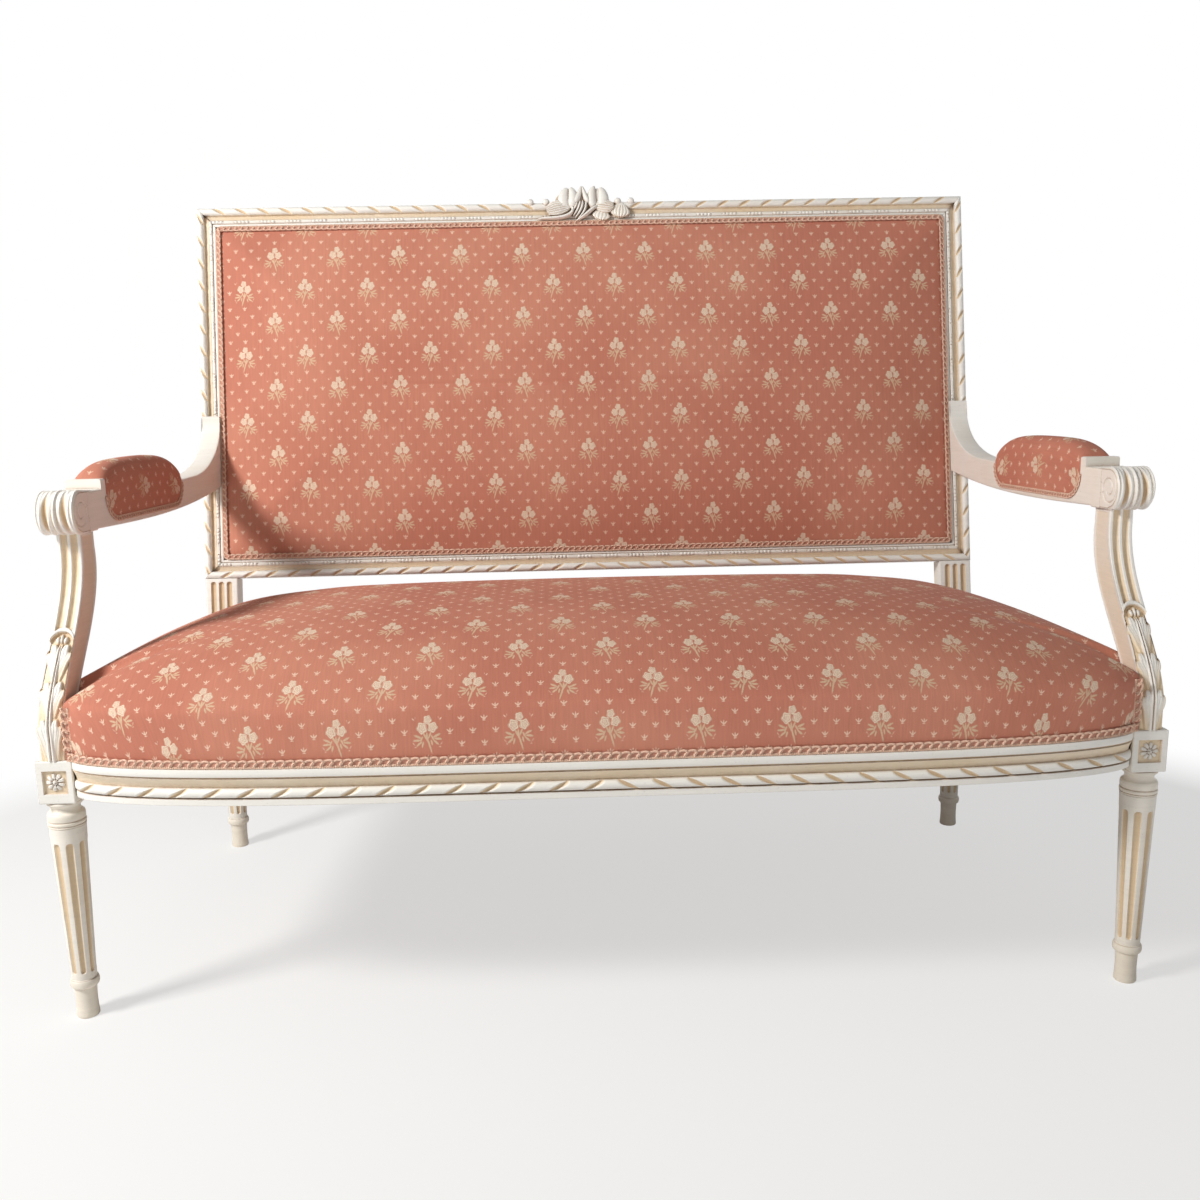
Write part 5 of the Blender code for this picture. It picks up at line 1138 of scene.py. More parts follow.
def makeArmBody():
    # the arm behind its scroll: stop block, bed and skirts of the pad, and a rear end that sweeps up the
    # stile; its stations lie close together where the block and the pad begin and end
    looks = armLooks
    sweepFront, sweepTop = looks["sweepFront"], looks["sweepTop"]
    archFront, edge = looks["archFront"], looks["edge"]
    y = np.concatenate([np.arange(0.100, 0.1375, 0.0025), [0.1379, 0.1382], np.arange(0.139, 0.149, 0.0016),
                        [0.1496, 0.1499, 0.1502], np.arange(0.151, 0.3975, 0.0016), [0.3978, 0.3982],
                        np.arange(0.400, 0.4551, 0.0024)])
    topZ = np.where(y < looks["padFront"], looks["stopTop"], looks["bed"])
    topZ = np.where(y < looks["stopFront"], looks["top"], topZ)
    topZ = topZ + 0.002 * smooth(y, looks["padRear"], sweepFront)
    angle = np.linspace(math.pi / 2, 0.0, 40)[1:]
    lastTop, lastLow = stileFace(sweepTop), stileFace(looks["jointFoot"])
    sweepY = lastTop - 0.004 - (lastTop - sweepFront) * (1 - np.cos(angle)) ** 0.9
    topY = np.concatenate([y, sweepY, [lastTop]])
    topZ = np.concatenate([topZ, sweepTop - looks["sweepRise"] * np.sin(angle) ** 0.8, [sweepTop]])
    lowY = np.concatenate([y, sweepFront + (lastLow - sweepFront) * np.linspace(0, 1, 41)[1:-1], [lastLow]])
    share = np.clip((lowY - archFront) / (lastLow - archFront), 0, 1)
    arch = looks["archFoot"] + looks["archRise"] * share ** 3 - 0.003 * np.sin(math.pi * share)
    lowZ = np.where(lowY < 0.1215, looks["under"], arch)
    v = np.concatenate([[0, 0.010, 0.028, 0.055], np.linspace(0.085, 0.915, 27), [0.945, 0.972, 0.990, 1]])
    deep = (topZ - lowZ)[:, None]
    py = lowY[:, None] + (topY - lowY)[:, None] * v
    pz = lowZ[:, None] + deep * v
    middle, half = armLine(py)
    corner = np.clip(edge - np.minimum(v, 1 - v) * deep, 0, edge)
    skirt = smooth(pz - skirtLow(py), -0.0004, 0.0004) * (py > looks["padFront"]) * (py < looks["padRear"])
    half = half - (edge - np.sqrt(edge ** 2 - corner ** 2)) * (1 - skirt) - looks["skirtDepth"] * skirt
    right = np.stack([middle + half, py, pz], -1)
    left = np.stack([middle - half, py, pz], -1)[:, ::-1]
    return carried(np.concatenate([right, left], 1), (0, 0, 0.15))


# channels of the leaf on the scroll: (place across, along) at its start, middle and end, then half width and
# depth at its start and end; places across run from 0 at the middle to 1, the rest is in millimetres
scrollChannels = [
    ((0.07, 4), (0.09, 60), (0.13, 142), (0.030, 0.050), (1.1, 2.6)),
    ((0.34, 10), (0.42, 62), (0.50, 138), (0.035, 0.160), (1.0, 5.6)),
    ((0.76, 14), (0.80, 62), (0.86, 124), (0.040, 0.085), (1.0, 3.0)),
]


def scrollRing():
    # the roll's outline seen from the side, (y, z): over its top, round its front, under it and up behind it;
    # also the number of the point where the leaf ends
    looks = armLooks
    r, back = looks["scrollRadius"], looks["scrollBack"]
    turn = np.radians(np.linspace(88, 268, 110))
    roll = np.stack([looks["frontY"] + r * np.cos(turn), looks["scrollZ"] + r * np.sin(turn)], 1)
    over = np.linspace((back, looks["top"] + 0.0004), roll[0], 56)[:-1]
    under = np.stack([np.linspace(roll[-1, 0], 0.122, 20)[1:], np.full(19, looks["under"])], 1)
    behind = np.stack([np.full(30, back), np.linspace(0.567, looks["top"] - 0.003, 30)], 1)
    return np.concatenate([over, roll, under, behind]), len(over) + len(roll) - 1


def scrollCuts(s, leafEnd, reach):
    # how deep the leaf's channels are, at a length s round the roll and a reach from its middle
    sunk = np.zeros((len(reach), len(s)))
    for start, middle, end, halves, depths in scrollChannels:
        stops = np.array([start[1], middle[1], end[1]]) / 1000 * leafEnd / 0.142
        path = np.interp(s, stops, [start[0], middle[0], end[0]])
        t = np.clip((s - stops[1] * 0.92) / (stops[2] - stops[1] * 0.92), 0, 1)
        swell = np.sin(math.pi * t ** 1.15) ** 0.9
        half = halves[0] + (halves[1] - halves[0]) * swell
        depth = (depths[0] + (depths[1] - depths[0]) * swell) / 1000
        ends = smooth(s, stops[0], stops[0] + 0.010) * (1 - smooth(s, stops[2] - 0.002, stops[2] + 0.003))
        sunk = np.maximum(sunk, np.clip(1 - np.abs((reach - path) / half) ** 2.2, 0, 1) * depth * ends)
    return sunk


def makeScroll():
    # the arm's front: a roll with a leaf over its top and front, cut by deep channels, between two volutes
    looks = armLooks
    ring, last = scrollRing()
    ahead = unit(np.roll(ring, -1, 0) - np.roll(ring, 1, 0))
    out = np.stack([ahead[:, 1], -ahead[:, 0]], 1)
    s = runLength(ring)
    leafEnd = s[last]
    across = np.linspace(-1, 1, 95)
    reach = np.abs(across)[:, None]
    zone = smooth(s, 0.002, 0.006) * (1 - smooth(s, leafEnd - 0.004, leafEnd + 0.003))
    swell = 0.0010 * np.cos(2 * math.pi * reach * 2.4) * smooth(s, 0.03, 0.07)
    sunk = zone * (blurred(scrollCuts(s, leafEnd, reach), 4) + 0.0008 - swell)
    sunk += 0.0016 * (1 - smooth((1 - reach) * looks["scrollHalf"], 0, 0.0024))
    middle = armLine(looks["frontY"])[0]
    edge = ring - out * sunk[-1][:, None]
    scales = np.concatenate([[0.02, 0.08], np.linspace(0.14, 0.97, 48), [0.985]])
    left, right = [[sideRing(edge, k, middle, side) for k in scales] for side in (-1, 1)]
    face = [np.column_stack([np.full(len(ring), x), ring - out * deep[:, None]])
            for x, deep in zip(middle + across * looks["scrollHalf"], sunk)]
    rings = np.array(left + face + right[::-1])
    glaze = np.full(rings.shape[:2], 0.2)
    # the leaf's channels go from white to cream with depth, and to ochre at their bottoms in painted shade
    glaze[len(scales):-len(scales)] = 1.45 * smooth(sunk, 0.0014, 0.0050)
    return carried(rings, marked(glaze))


def sideRing(ring, scale, middle, side):
    # the roll's end face, a ring drawn in toward its centre: an engraved spiral and a shallow panel behind it
    looks = armLooks
    axis = np.array([looks["frontY"], looks["scrollZ"]])
    centre = axis + [0.004, 0]
    place = centre + (ring - centre) * scale
    off = place - axis
    radius = np.hypot(*off.T) / looks["scrollRadius"]
    turn = np.mod(np.arctan2(off[:, 1], off[:, 0]) / (2 * math.pi) + 0.55, 1.0)
    phase = (0.74 - radius) / 0.36 - turn
    phase = phase - np.round(phase)
    spiral = np.exp(-(phase / 0.10) ** 2) * smooth(radius, 0.18, 0.24) * (1 - smooth(radius, 0.72, 0.78))
    y, z = place.T
    inPanel = np.minimum.reduce([y - 0.1035, 0.1335 - y, 0.0125 - np.abs(z - 0.5905)])
    rise = -0.0014 * spiral - 0.0012 * smooth(inPanel, 0.0, 0.0014)
    return np.column_stack([middle + side * (looks["scrollHalf"] + rise - 0.0008 * (scale > 0.96)), place])


addPair("armSupport", makeSupport(), ivory, "ivory_paint", ["arm_support"])
addPair("arm", joined(makeArmBody(), makeScroll()), ivory, "ivory_paint", ["arm"])
print("arms made")


# Upholstery

seatLooks = {
    "cornerX": 0.6097, "postX": 0.5619, "postY": 0.5095, "rearY": 0.541, "foot": 0.3198, "wall": 0.066,
    "crown": 0.075, "spineY": 0.200, "spineHalf": 0.34, "roundPower": 2.6, "setback": 0.006, "bulge": 0.004,
    "clothReach": (0.61, 0.30), "gimpRise": 0.0053, "gimpOut": 0.0033, "fineAround": 640, "fineRings": 64,
    "mostMove": 0.0050, "pressure": 0.6,
}


def seatOutline(z, setback, bulge, inset, count):
    # the seat's edge in plan, from the front's middle round the +X side to the rear's middle and back
    looks = seatLooks
    notchY = max(supportSweep(z)[1] + 0.0006 + inset * 2, 0.0205)
    cornerX, postX, postY, rearY = [looks[key] - inset for key in ("cornerX", "postX", "postY", "rearY")]
    x = cornerX * np.sin(math.pi / 2 * np.linspace(0, 1, 400))
    front = np.stack([x, railFrontY(np.minimum(x, railReach - 0.004)) + setback + inset * 0.5 - bulge], 1)
    y = np.linspace(notchY, postY, 200)
    side = np.stack([sideX(y) - railLooks["sideSetback"] - setback + bulge * 0.6, y], 1)
    line = np.concatenate([front, [(cornerX, notchY)], side, [(postX, postY), (postX, rearY), (0.0, rearY)]])
    # stations are shared out by the same landmarks at every height, so that points stay above each other
    landmarks = [0, 399, 400, 401, 600, 601, 602, 603]
    shares = [0, 0.40, 0.435, 0.45, 0.745, 0.775, 0.79, 1.0]
    length = runLength(line)
    place = np.interp(np.linspace(0, 1, count // 2 + 1), shares, length[landmarks])
    return bothSides(eased(pointsAt(place, length, line), 2))


def drawnIn(ring, share):
    # the outline drawn toward the seat's middle, rounder the further in it lies (a superellipse at its core)
    looks = seatLooks
    x, y = ring.T
    off = y - looks["spineY"]
    halfX, halfY = x.max(), (y.max() - y.min()) / 2
    spine = np.clip(x, -looks["spineHalf"], looks["spineHalf"])
    sharp = np.stack([spine + (x - spine) * share, off * share], 1)
    turn = np.arctan2(off / halfY, x / halfX)
    core = [half * np.sign(wave) * np.abs(wave) ** (2 / looks["roundPower"])
            for half, wave in ((halfX, np.cos(turn)), (halfY, np.sin(turn)))]
    return sharp * share + share * np.stack(core, 1) * (1 - share) + [0, looks["spineY"]]


def seatSurface(around, crownRings, wallRings, inward=0.0):
    # rings of the stuffed seat: walls up from the rail with a slight bulge, then the crown, whose height is
    # wall + crown * (1 - share^3); averaging along each line up the seat rounds the shoulder between them
    looks = seatLooks
    low, wall = looks["foot"], looks["foot"] + looks["wall"] - inward
    rings = []
    for share in np.linspace(0, 1, wallRings):
        z = low + (wall - low) * share
        bulge = looks["bulge"] * np.interp(share, [0, 0.30, 0.70, 1], [0.3, 0.8, 1.0, 0.6])
        outline = seatOutline(z, looks["setback"] + inward, bulge, inward, around)
        rings.append(atHeight(outline, z))
    edge = rings[-1][:, :2]
    for share in 1 - np.linspace(0, 1, crownRings + 2)[1:-1] ** 1.15:
        z = wall + looks["crown"] * (1 - share ** 3)
        rings.append(atHeight(drawnIn(edge, share), z))
    return eased(np.array(rings), max(2, crownRings // 12))


def seatCloth(rings):
    # cloth places: seen from above, with the slope's extra length added away from the middle
    looks = seatLooks
    plan = rings[..., :2] - [0, looks["spineY"]]
    grow = np.abs(plan / looks["clothReach"]) ** 5 * np.sign(plan) / looks["clothReach"]
    grow /= np.linalg.norm(grow, axis=-1, keepdims=True) + 1e-9
    step, flatStep = [np.linalg.norm(np.diff(part, axis=0), axis=-1) for part in (rings, rings[..., :2])]
    extra = np.cumsum((step - flatStep)[::-1], axis=0)[::-1]
    extra = np.concatenate([extra, np.zeros((1, rings.shape[1]))])
    return plan + grow * extra[..., None]


settling = {"quality": 6, "mass": 0.25, "tension_stiffness": 18.0, "compression_stiffness": 18.0,
            "bending_stiffness": 0.3, "use_pressure": True, "vertex_group_mass": "held"}


def simulated(points, held, pressure):
    # how far a cloth simulation moves the points of closed rings: held ones stay, air presses the rest out
    index = np.arange(points.shape[0] * points.shape[1]).reshape(points.shape[:2])
    after = np.roll(index, -1, 1)
    quads = np.stack([index[:-1], after[:-1], after[1:], index[1:]], -1).reshape(-1, 4)
    flat = points.reshape(-1, 3)
    corners = flat[quads]
    normal = np.cross(corners[:, 2] - corners[:, 0], corners[:, 3] - corners[:, 1])
    if np.sum((corners.mean(1) - flat.mean(0)) * normal) < 0:
        quads = quads[:, ::-1]
    mesh = bpy.data.meshes.new("settling")
    mesh.from_pydata(flat.tolist(), [], quads.tolist())
    item = bpy.data.objects.new("settling", mesh)
    bpy.context.scene.collection.objects.link(item)
    item.vertex_groups.new(name="held").add(np.flatnonzero(held.ravel()).tolist(), 1.0, "REPLACE")
    cloth = item.modifiers.new("cloth", "CLOTH")
    for key, value in settling.items():
        setattr(cloth.settings, key, value)
    cloth.settings.uniform_pressure_force = pressure
    cloth.settings.effector_weights.gravity = 0.0
    for step in range(1, 21):
        bpy.context.scene.frame_set(step)
    done = item.evaluated_get(bpy.context.evaluated_depsgraph_get()).data
    moved = np.empty(len(done.vertices) * 3)
    done.vertices.foreach_get("co", moved)
    bpy.data.objects.remove(item)
    bpy.data.meshes.remove(mesh)
    bpy.context.scene.frame_set(1)
    return (moved.reshape(-1, 3) - flat).reshape(points.shape)


def settled(rings, held, ease, every, pressure, most):
    # a cover's rings after a cloth simulation on every few of their points: what it moved, eased and at most
    # so far, is spread over all of the rings
    rows = np.unique(np.append(np.arange(0, rings.shape[0], every[0]), rings.shape[0] - 1))
    columns = np.arange(0, rings.shape[1], every[1])
    shift = simulated(rings[np.ix_(rows, columns)], held[np.ix_(rows, columns)], pressure)
    print("cloth settled, moved by up to", round(float(np.linalg.norm(shift, axis=-1).max()), 4))
    row = np.interp(np.arange(rings.shape[0]), rows, np.arange(len(rows)))
    column = np.arange(rings.shape[1]) / every[1]
    r0 = np.minimum(row.astype(int), len(rows) - 2)
    c0 = column.astype(int) % len(columns)
    c1 = (c0 + 1) % len(columns)
    r = (row - r0)[:, None, None]
    c = (column - column.astype(int))[None, :, None]
    lower, upper = [(1 - c) * shift[k][:, c0] + c * shift[k][:, c1] for k in (r0, r0 + 1)]
    spread = (1 - r) * lower + r * upper
    for _ in range(4):
        spread = eased(spread, 1)
        spread = (np.roll(spread, 1, 1) + 2 * spread + np.roll(spread, -1, 1)) / 4
    reach = np.linalg.norm(spread, axis=-1, keepdims=True)
    return rings + spread * ease[..., None] * most / max(float(reach.max()), most)


def makeSeatCover():
    # the seat's cloth, held along the rail and turned in under its edge
    looks = seatLooks
    rings = seatSurface(looks["fineAround"], looks["fineRings"], 20)
    marks = marked(0.0, *np.moveaxis(seatCloth(rings), -1, 0))
    inner = rings[0].copy()
    inner[:, :2] = drawnIn(inner[:, :2], 0.93)
    nearSides = smooth(np.abs(rings[..., 0]), 0.50, 0.575)
    ease = smooth(rings[..., 2] - looks["foot"], 0.012, 0.034) * (1 - 0.85 * nearSides)
    held = np.broadcast_to((np.arange(len(rings)) < 4)[:, None], rings.shape[:2])
    rings = settled(rings, held, ease, (3, 4), looks["pressure"], looks["mostMove"])
    return carried(np.concatenate([inner[None], rings]), np.concatenate([marks[:1], marks]))


seatCover = addPiece("seatCover", makeSeatCover(), coralSeat, "coral_fabric", ["seat_cover"], 70)


backPadLooks = {"pressure": 0.5, "mostMove": 0.0035, "edgeInset": 0.0006, "base": 0.0055, "crown": 0.024,
                "corner": 0.010, "spineHalf": 0.3185, "stretch": 1.012, "around": 560, "rings": 54}


def backOutline(inset, corner, count):
    # a rounded rectangle in the back's plane, its points spread evenly
    half = settee["backHalf"] - settee["mouldingWidth"] - inset
    low, high = settee["mouldingWidth"] + inset, settee["backHeight"] - settee["mouldingWidth"] - inset
    line = []
    for x, h, start in ((half, low, -90), (half, high, 0), (-half, high, 90), (-half, low, 180)):
        middle = (x - math.copysign(corner, x), h + corner if h == low else h - corner)
        turn = np.radians(start + np.linspace(0, 90, 9))
        line.append(middle + corner * np.stack([np.cos(turn), np.sin(turn)], 1))
    line = np.concatenate([*line, line[0][:1]])
    length = runLength(line)
    return pointsAt(np.linspace(0, length[-1], count + 1)[:-1], length, line)


def backDome(base, crown, around, rings):
    # the padded back: depth = base - crown * (1 - share^3), share falling from the edge to the middle line
    looks = backPadLooks
    edge = backOutline(looks["edgeInset"], looks["corner"], around)
    middle = settee["backHeight"] / 2
    spine = np.clip(edge[:, 0], -looks["spineHalf"], looks["spineHalf"])
    made = []
    for share in 1 - np.linspace(0, 0.985, rings) ** 1.2:
        x = spine + (edge[:, 0] - spine) * share
        depth = np.full(len(x), base - crown * (1 - share ** 3))
        made.append(np.stack([x, depth, middle + (edge[:, 1] - middle) * share], 1))
    return np.array(made)


def makeBackCover():
    # the inner back's cloth, held along the moulding and turned in behind its edge
    looks = backPadLooks
    middle = settee["backHeight"] / 2
    dome = backDome(looks["base"], looks["crown"], looks["around"], looks["rings"])
    marks = marked(0.0, dome[..., 0] * looks["stretch"], (dome[..., 2] - middle) * looks["stretch"])
    number = np.arange(len(dome))[:, None] + 0 * dome[..., 0]
    dome = settled(dome, number < 3, smooth(number, 3, 12), (3, 4), looks["pressure"], looks["mostMove"])
    lip = dome[:1] + [0, 0.0015, 0]
    inner = (lip - [0, 0, middle]) * [0.985, 1, 0.97] + [0, 0, middle]
    marks = np.concatenate([marks[:1], marks[:1], marks])
    return carried(rakedPoints(np.concatenate([inner, lip, dome])), marks)


backCover = addPiece("backCover", makeBackCover(), coralBack, "coral_fabric", ["back_cover"], 70)


def makePad():
    # the arm pad: a crowned top over skirts that cover the sides of the arm
    looks = armLooks
    length = looks["padRear"] - looks["padFront"]
    even = 0.5 - 0.5 * np.cos(np.linspace(0, math.pi, 110))
    y = (looks["padFront"] + 0.0003 + (length - 0.0006) * even)[:, None]
    arch = np.clip(1 - np.abs(2 * (y - looks["padFront"]) / length - 1) ** 4, 0, 1)
    top = looks["padEnd"] + (looks["padTop"] - looks["padEnd"]) * arch ** 0.7
    middle, half = armLine(y)
    low, bed = skirtLow(y) + 0.0003, looks["bed"] + 0.0003
    shoulder = bed + (top - bed) * 0.26
    rise = np.linspace(0, 1, 17)
    turn = np.linspace(0, math.pi / 2, 22)[1:]
    skirtX = half + 0.0010 * np.sin(math.pi * rise) - 0.0003 * (rise == 0)
    x = np.concatenate([skirtX, half * np.cos(turn) ** 0.72], 1)
    z = np.concatenate([low + (shoulder - low) * rise, shoulder + (top - shoulder) * np.sin(turn) ** 0.86], 1)
    innerX = half - looks["skirtDepth"] + 0.0003
    x = np.concatenate([innerX, innerX, x], 1)
    right = np.stack([x, np.concatenate([np.full_like(y, bed), low, z], 1)], -1)
    ring = np.concatenate([right, (right * [-1, 1])[:, -2::-1]], 1)
    rings = np.stack([middle + ring[..., 0], np.broadcast_to(y, ring.shape[:2]), ring[..., 1]], -1)
    around = np.cumsum(np.linalg.norm(np.diff(ring, axis=1), axis=-1), 1)
    around = np.concatenate([np.zeros((len(y), 1)), around], 1)
    around -= around[:, [right.shape[1] - 1]]
    inside = np.minimum(np.arange(len(y)), np.arange(len(y))[::-1])[:, None]
    above = ring[..., 1] - bed
    ease = smooth(inside, 3, 12) * smooth(above, 0.001, 0.008)
    held = (inside < 3) | (above < 0.001)
    rings = settled(rings, held, ease, (2, 2), looks["padPressure"], looks["mostMove"])
    return carried(rings, marked(0.0, around, y))


for pad in addPair("armPad", makePad(), coralPads, "coral_fabric", ["arm_pad"], 60):
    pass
print("covers made")


# Woven trim

gimpLooks = {
    "loopPitch": 0.0104, "edgePitch": 0.46, "slant": 0.75, "half": 0.0048, "tape": 0.0006, "tapeCream": 0.34,
    "loop": {"cream": 0.9, "lean": 0.0029, "rise": 0.0028, "radius": 0.00138, "middle": 0.0011,
             "height": 0.0011},
    "edge": {"cream": 1.0, "lean": 0.0, "rise": 0.0009, "radius": 0.00072, "middle": -0.0038,
             "height": 0.0009},
}


def cord(line, radius, mark, facing, around, closed=False):
    # a round cord along a line; facing is a direction that is never along it, mark its third mark
    ahead = unit(np.roll(line, -1, 0) - np.roll(line, 1, 0) if closed else np.gradient(line, axis=0))
    out = unit(facing - ahead * np.sum(ahead * facing, 1)[:, None])
    side = np.cross(ahead, out)
    turn = np.linspace(0, 2 * math.pi, around, endpoint=False)[:, None]
    rings = line[:, None] + radius * (np.cos(turn) * out[:, None] + np.sin(turn) * side[:, None])
    marks = marked(mark, runLength(line)[:, None], turn[:, 0] / (2 * math.pi) * 0.0024)
    return carried(rings, marks, ring=closed)


def gimp(path, out, up, closed=False, scale=1.0):
    # scroll gimp: a tape, a cord that loops along it and two fine cords plaited along its lower edge;
    # out points off the cloth and up across the tape, each one direction or one for each point of the path
    looks = gimpLooks
    ends = np.concatenate([np.broadcast_to(part, np.shape(path)) for part in (path, out, up)], 1)
    if closed:
        ends = np.concatenate([ends, ends[:1]])
    length = runLength(ends[:, :3])
    pitch = length[-1] / max(1, round(length[-1] / looks["loopPitch"] / scale))

    def at(place):
        # the tape's middle and its two directions, so far along it
        place = np.mod(place, length[-1]) if closed else np.clip(place, 0, length[-1])
        return np.split(pointsAt(place, length, ends), 3, axis=1)

    def strand(form, pitchHere, turn, perTurn):
        # a cord that winds along the tape
        lean, rise, radius, middle = [form[key] * scale for key in ("lean", "rise", "radius", "middle")]
        count = int(round(length[-1] / pitchHere))
        angle = np.linspace(0, 2 * math.pi * count, count * perTurn + 1)[:-1 if closed else None]
        run = angle / (2 * math.pi) * (length[-1] / count)
        slant = looks["slant"] * rise * np.cos(angle + turn)
        spot, outHere, upHere = at(run + (lean * np.sin(angle + turn) + slant))
        line = spot + upHere * (middle + rise * np.cos(angle + turn))[:, None]
        line = line + outHere * (form["height"] + radius * 0.45 * np.sin(2 * (angle + turn)))[:, None]
        return cord(line, radius, form["cream"], outHere, 5, closed)

    strands = [strand(looks["loop"], pitch, 0.0, 11 if closed else 14)]
    strands += [strand(looks["edge"], pitch * looks["edgePitch"], turn, 7) for turn in (0.0, math.pi)]
    half, tape = looks["half"] * scale * 0.92, looks["tape"]
    run = np.linspace(0, length[-1], max(12, int(length[-1] / 0.004)) + 1)[:-1 if closed else None]
    spot, outHere, upHere = at(run)
    corners = [(-half, 0.0), (half, 0.0), (half, tape), (-half, tape)]
    rings = np.stack([spot + upHere * a + outHere * b for a, b in corners], 1)
    run = np.linspace(0, length[-1], len(spot))[:, None]
    marks = marked(looks["tapeCream"], run, np.array([0, 1, 1, 0]) * 0.009)
    return joined(*strands, carried(rings, marks, ring=closed))


def addGimp(add, name, node, *form):
    add(name, gimp(*form), gimpYarn, "gimp_braid", [node])


def seatGimpPath():
    # where the trim lies on the seat's front, and its directions off the cloth
    corner = seatLooks["cornerX"]
    x = corner * np.sin(np.linspace(-math.pi / 2, math.pi / 2, 600))
    x = x[np.abs(x) < corner - 0.002]
    y = railFrontY(np.minimum(np.abs(x), railReach - 0.004)) + seatLooks["setback"]
    front = np.stack([x, y, np.full_like(x, gimpZ)], 1)
    ahead = np.gradient(front, axis=0)
    out = unit(np.stack([ahead[:, 1], -ahead[:, 0], 0 * ahead[:, 0]], 1))
    return front + out * seatLooks["gimpOut"], out


gimpZ = seatLooks["foot"] + seatLooks["gimpRise"]
frontPath, frontOut = seatGimpPath()
cornerY = float(frontPath[-1, 1]) - 0.0004
sideY = np.linspace(supportSweep(seatLooks["foot"])[1] + 0.0026, 0.5075, 40)
sidePath = np.stack([sideX(sideY) - 0.008 + seatLooks["gimpOut"], sideY, np.full(40, gimpZ)], 1)
upright = [(0.60445, cornerY, 0.3309), (0.60445, cornerY, 0.3818)]
rearPath = [(0.560, 0.5413, gimpZ), (-0.560, 0.5413, gimpZ)]
addGimp(addPiece, "seatGimpFront", "seat_gimp_front", frontPath, frontOut, (0, 0, 1))
addGimp(addPair, "seatGimpCorner", "seat_gimp_corner", upright, (0, -1, 0), (1, 0, 0))
addGimp(addPair, "seatGimpSide", "seat_gimp_side", sidePath, (1, 0, 0), (0, 0, 1))
addGimp(addPiece, "seatGimpBack", "seat_gimp_back", rearPath, (0, 1, 0), (0, 0, 1))


def frameGimp(inset, depth, tilt, toward):
    # trim round a rectangle in the back's plane; tilt leans it outward, toward is 1 behind and -1 in front
    ring = backOutline(inset - settee["mouldingWidth"], 0.004, 1200)
    ahead = unit(np.roll(ring, -1, 0) - np.roll(ring, 1, 0))
    x, h = -ahead[:, 1], ahead[:, 0]
    sine, cosine = math.sin(tilt), math.cos(tilt)
    up = raked(x, toward * sine, h) - raked(0, 0, 0)
    out = raked(-x * sine, toward * cosine, -h * sine) - raked(0, 0, 0)
    return raked(ring[:, 0], depth, ring[:, 1]), out, up, True, 0.88


addGimp(addPiece, "backGimp", "back_gimp", *frameGimp(0.0338, 0.0022, 0.30, -1))
addGimp(addPiece, "outsideGimp", "outside_back_gimp", *frameGimp(0.0265, 0.0368, 0.0, 1))


def padGimp(side):
    # round the pad's skirt on one side of the arm
    looks = armLooks
    radius, grow = looks["skirtRadius"], 0.001
    turn = np.linspace(0, math.pi / 2, 24)
    along, up = radius * (1 - np.cos(turn)), looks["skirtFoot"] - grow + radius * (1 - np.sin(turn))
    front = np.stack([looks["padFront"] - grow + along, up], 1)
    rear = np.stack([looks["padRear"] + grow - along, up], 1)[::-1]
    line = np.concatenate([front, rear])
    middle, half = armLine(line[:, 0])
    path = np.column_stack([middle + side * (half + 0.0004), line])
    ahead = unit(np.gradient(path, axis=0))
    return path, (side, 0, 0), np.cross([side, 0, 0], ahead) * -side, False, 0.66


addGimp(addPair, "padGimpOuter", "arm_pad_gimp_outer", *padGimp(1))
addGimp(addPair, "padGimpInner", "arm_pad_gimp_inner", *padGimp(-1))
print("trim made")


# What lies inside and behind

innerLooks = {"bandHalf": 0.025, "bandThickness": 0.0015, "weave": 0.0011, "bandPitch": 0.125, "wire": 0.0018,
              "waist": 0.026, "coil": 0.040, "springHeight": 0.105, "turns": 3.0, "springRows": (0.12, 0.38),
              "springColumns": (-0.375, -0.125, 0.125, 0.375), "canvasFoot": 0.3823, "canvasHead": 0.3838,
              "hairFoot": 0.3841, "lump": 0.0003, "planPoints": 280, "tackedEdge": 0.022}


def makeWoven(name, light, dark, pitch, rough):
    # a coarse plain weave from the piece's own cloth places
    made, tree, shader = newMaterial(name, Roughness=rough, Specular_IOR_Level=0.2)
    flat = clothPlace(tree)
    weave = maths(tree, "MULTIPLY", *[stripes(tree, way, flat, 0.314 / pitch, 1.2, 2.0, 1.5) for way in "XY"])
    dirtAndShade = noise(tree, flat, 60.0, 4.0, 0.6)
    colour = blend(tree, ranged(tree, maths(tree, "MULTIPLY_ADD", dirtAndShade, 0.6, weave), 0.25, 1.05), dark, light)
    dress(tree, shader, colour, ranged(tree, weave, 0.0, 1.0, rough + 0.06, rough - 0.06), weave, 0.8, 0.0006)
    return made


def makeSolidLook(name, light, dark, scale, stretch, rough, metallic=0.0, bumpHeight=0.0002):
    # wood, hair or steel: streaks of two colours in the piece's own space
    made, tree, shader = newMaterial(name, Metallic=metallic)
    place = ownPlace(tree)
    grain = noise(tree, stretched(tree, place, stretch), scale, 5.0, 0.62)
    fine = noise(tree, place, scale * 9, 2.0)
    colour = blend(tree, ranged(tree, grain, 0.32, 0.70), dark, light)
    roughness = ranged(tree, fine, 0.3, 0.7, rough - 0.08, rough + 0.08, "LINEAR")
    dress(tree, shader, colour, roughness, maths(tree, "MULTIPLY_ADD", fine, 0.4, grain), 0.6, bumpHeight)
    return made


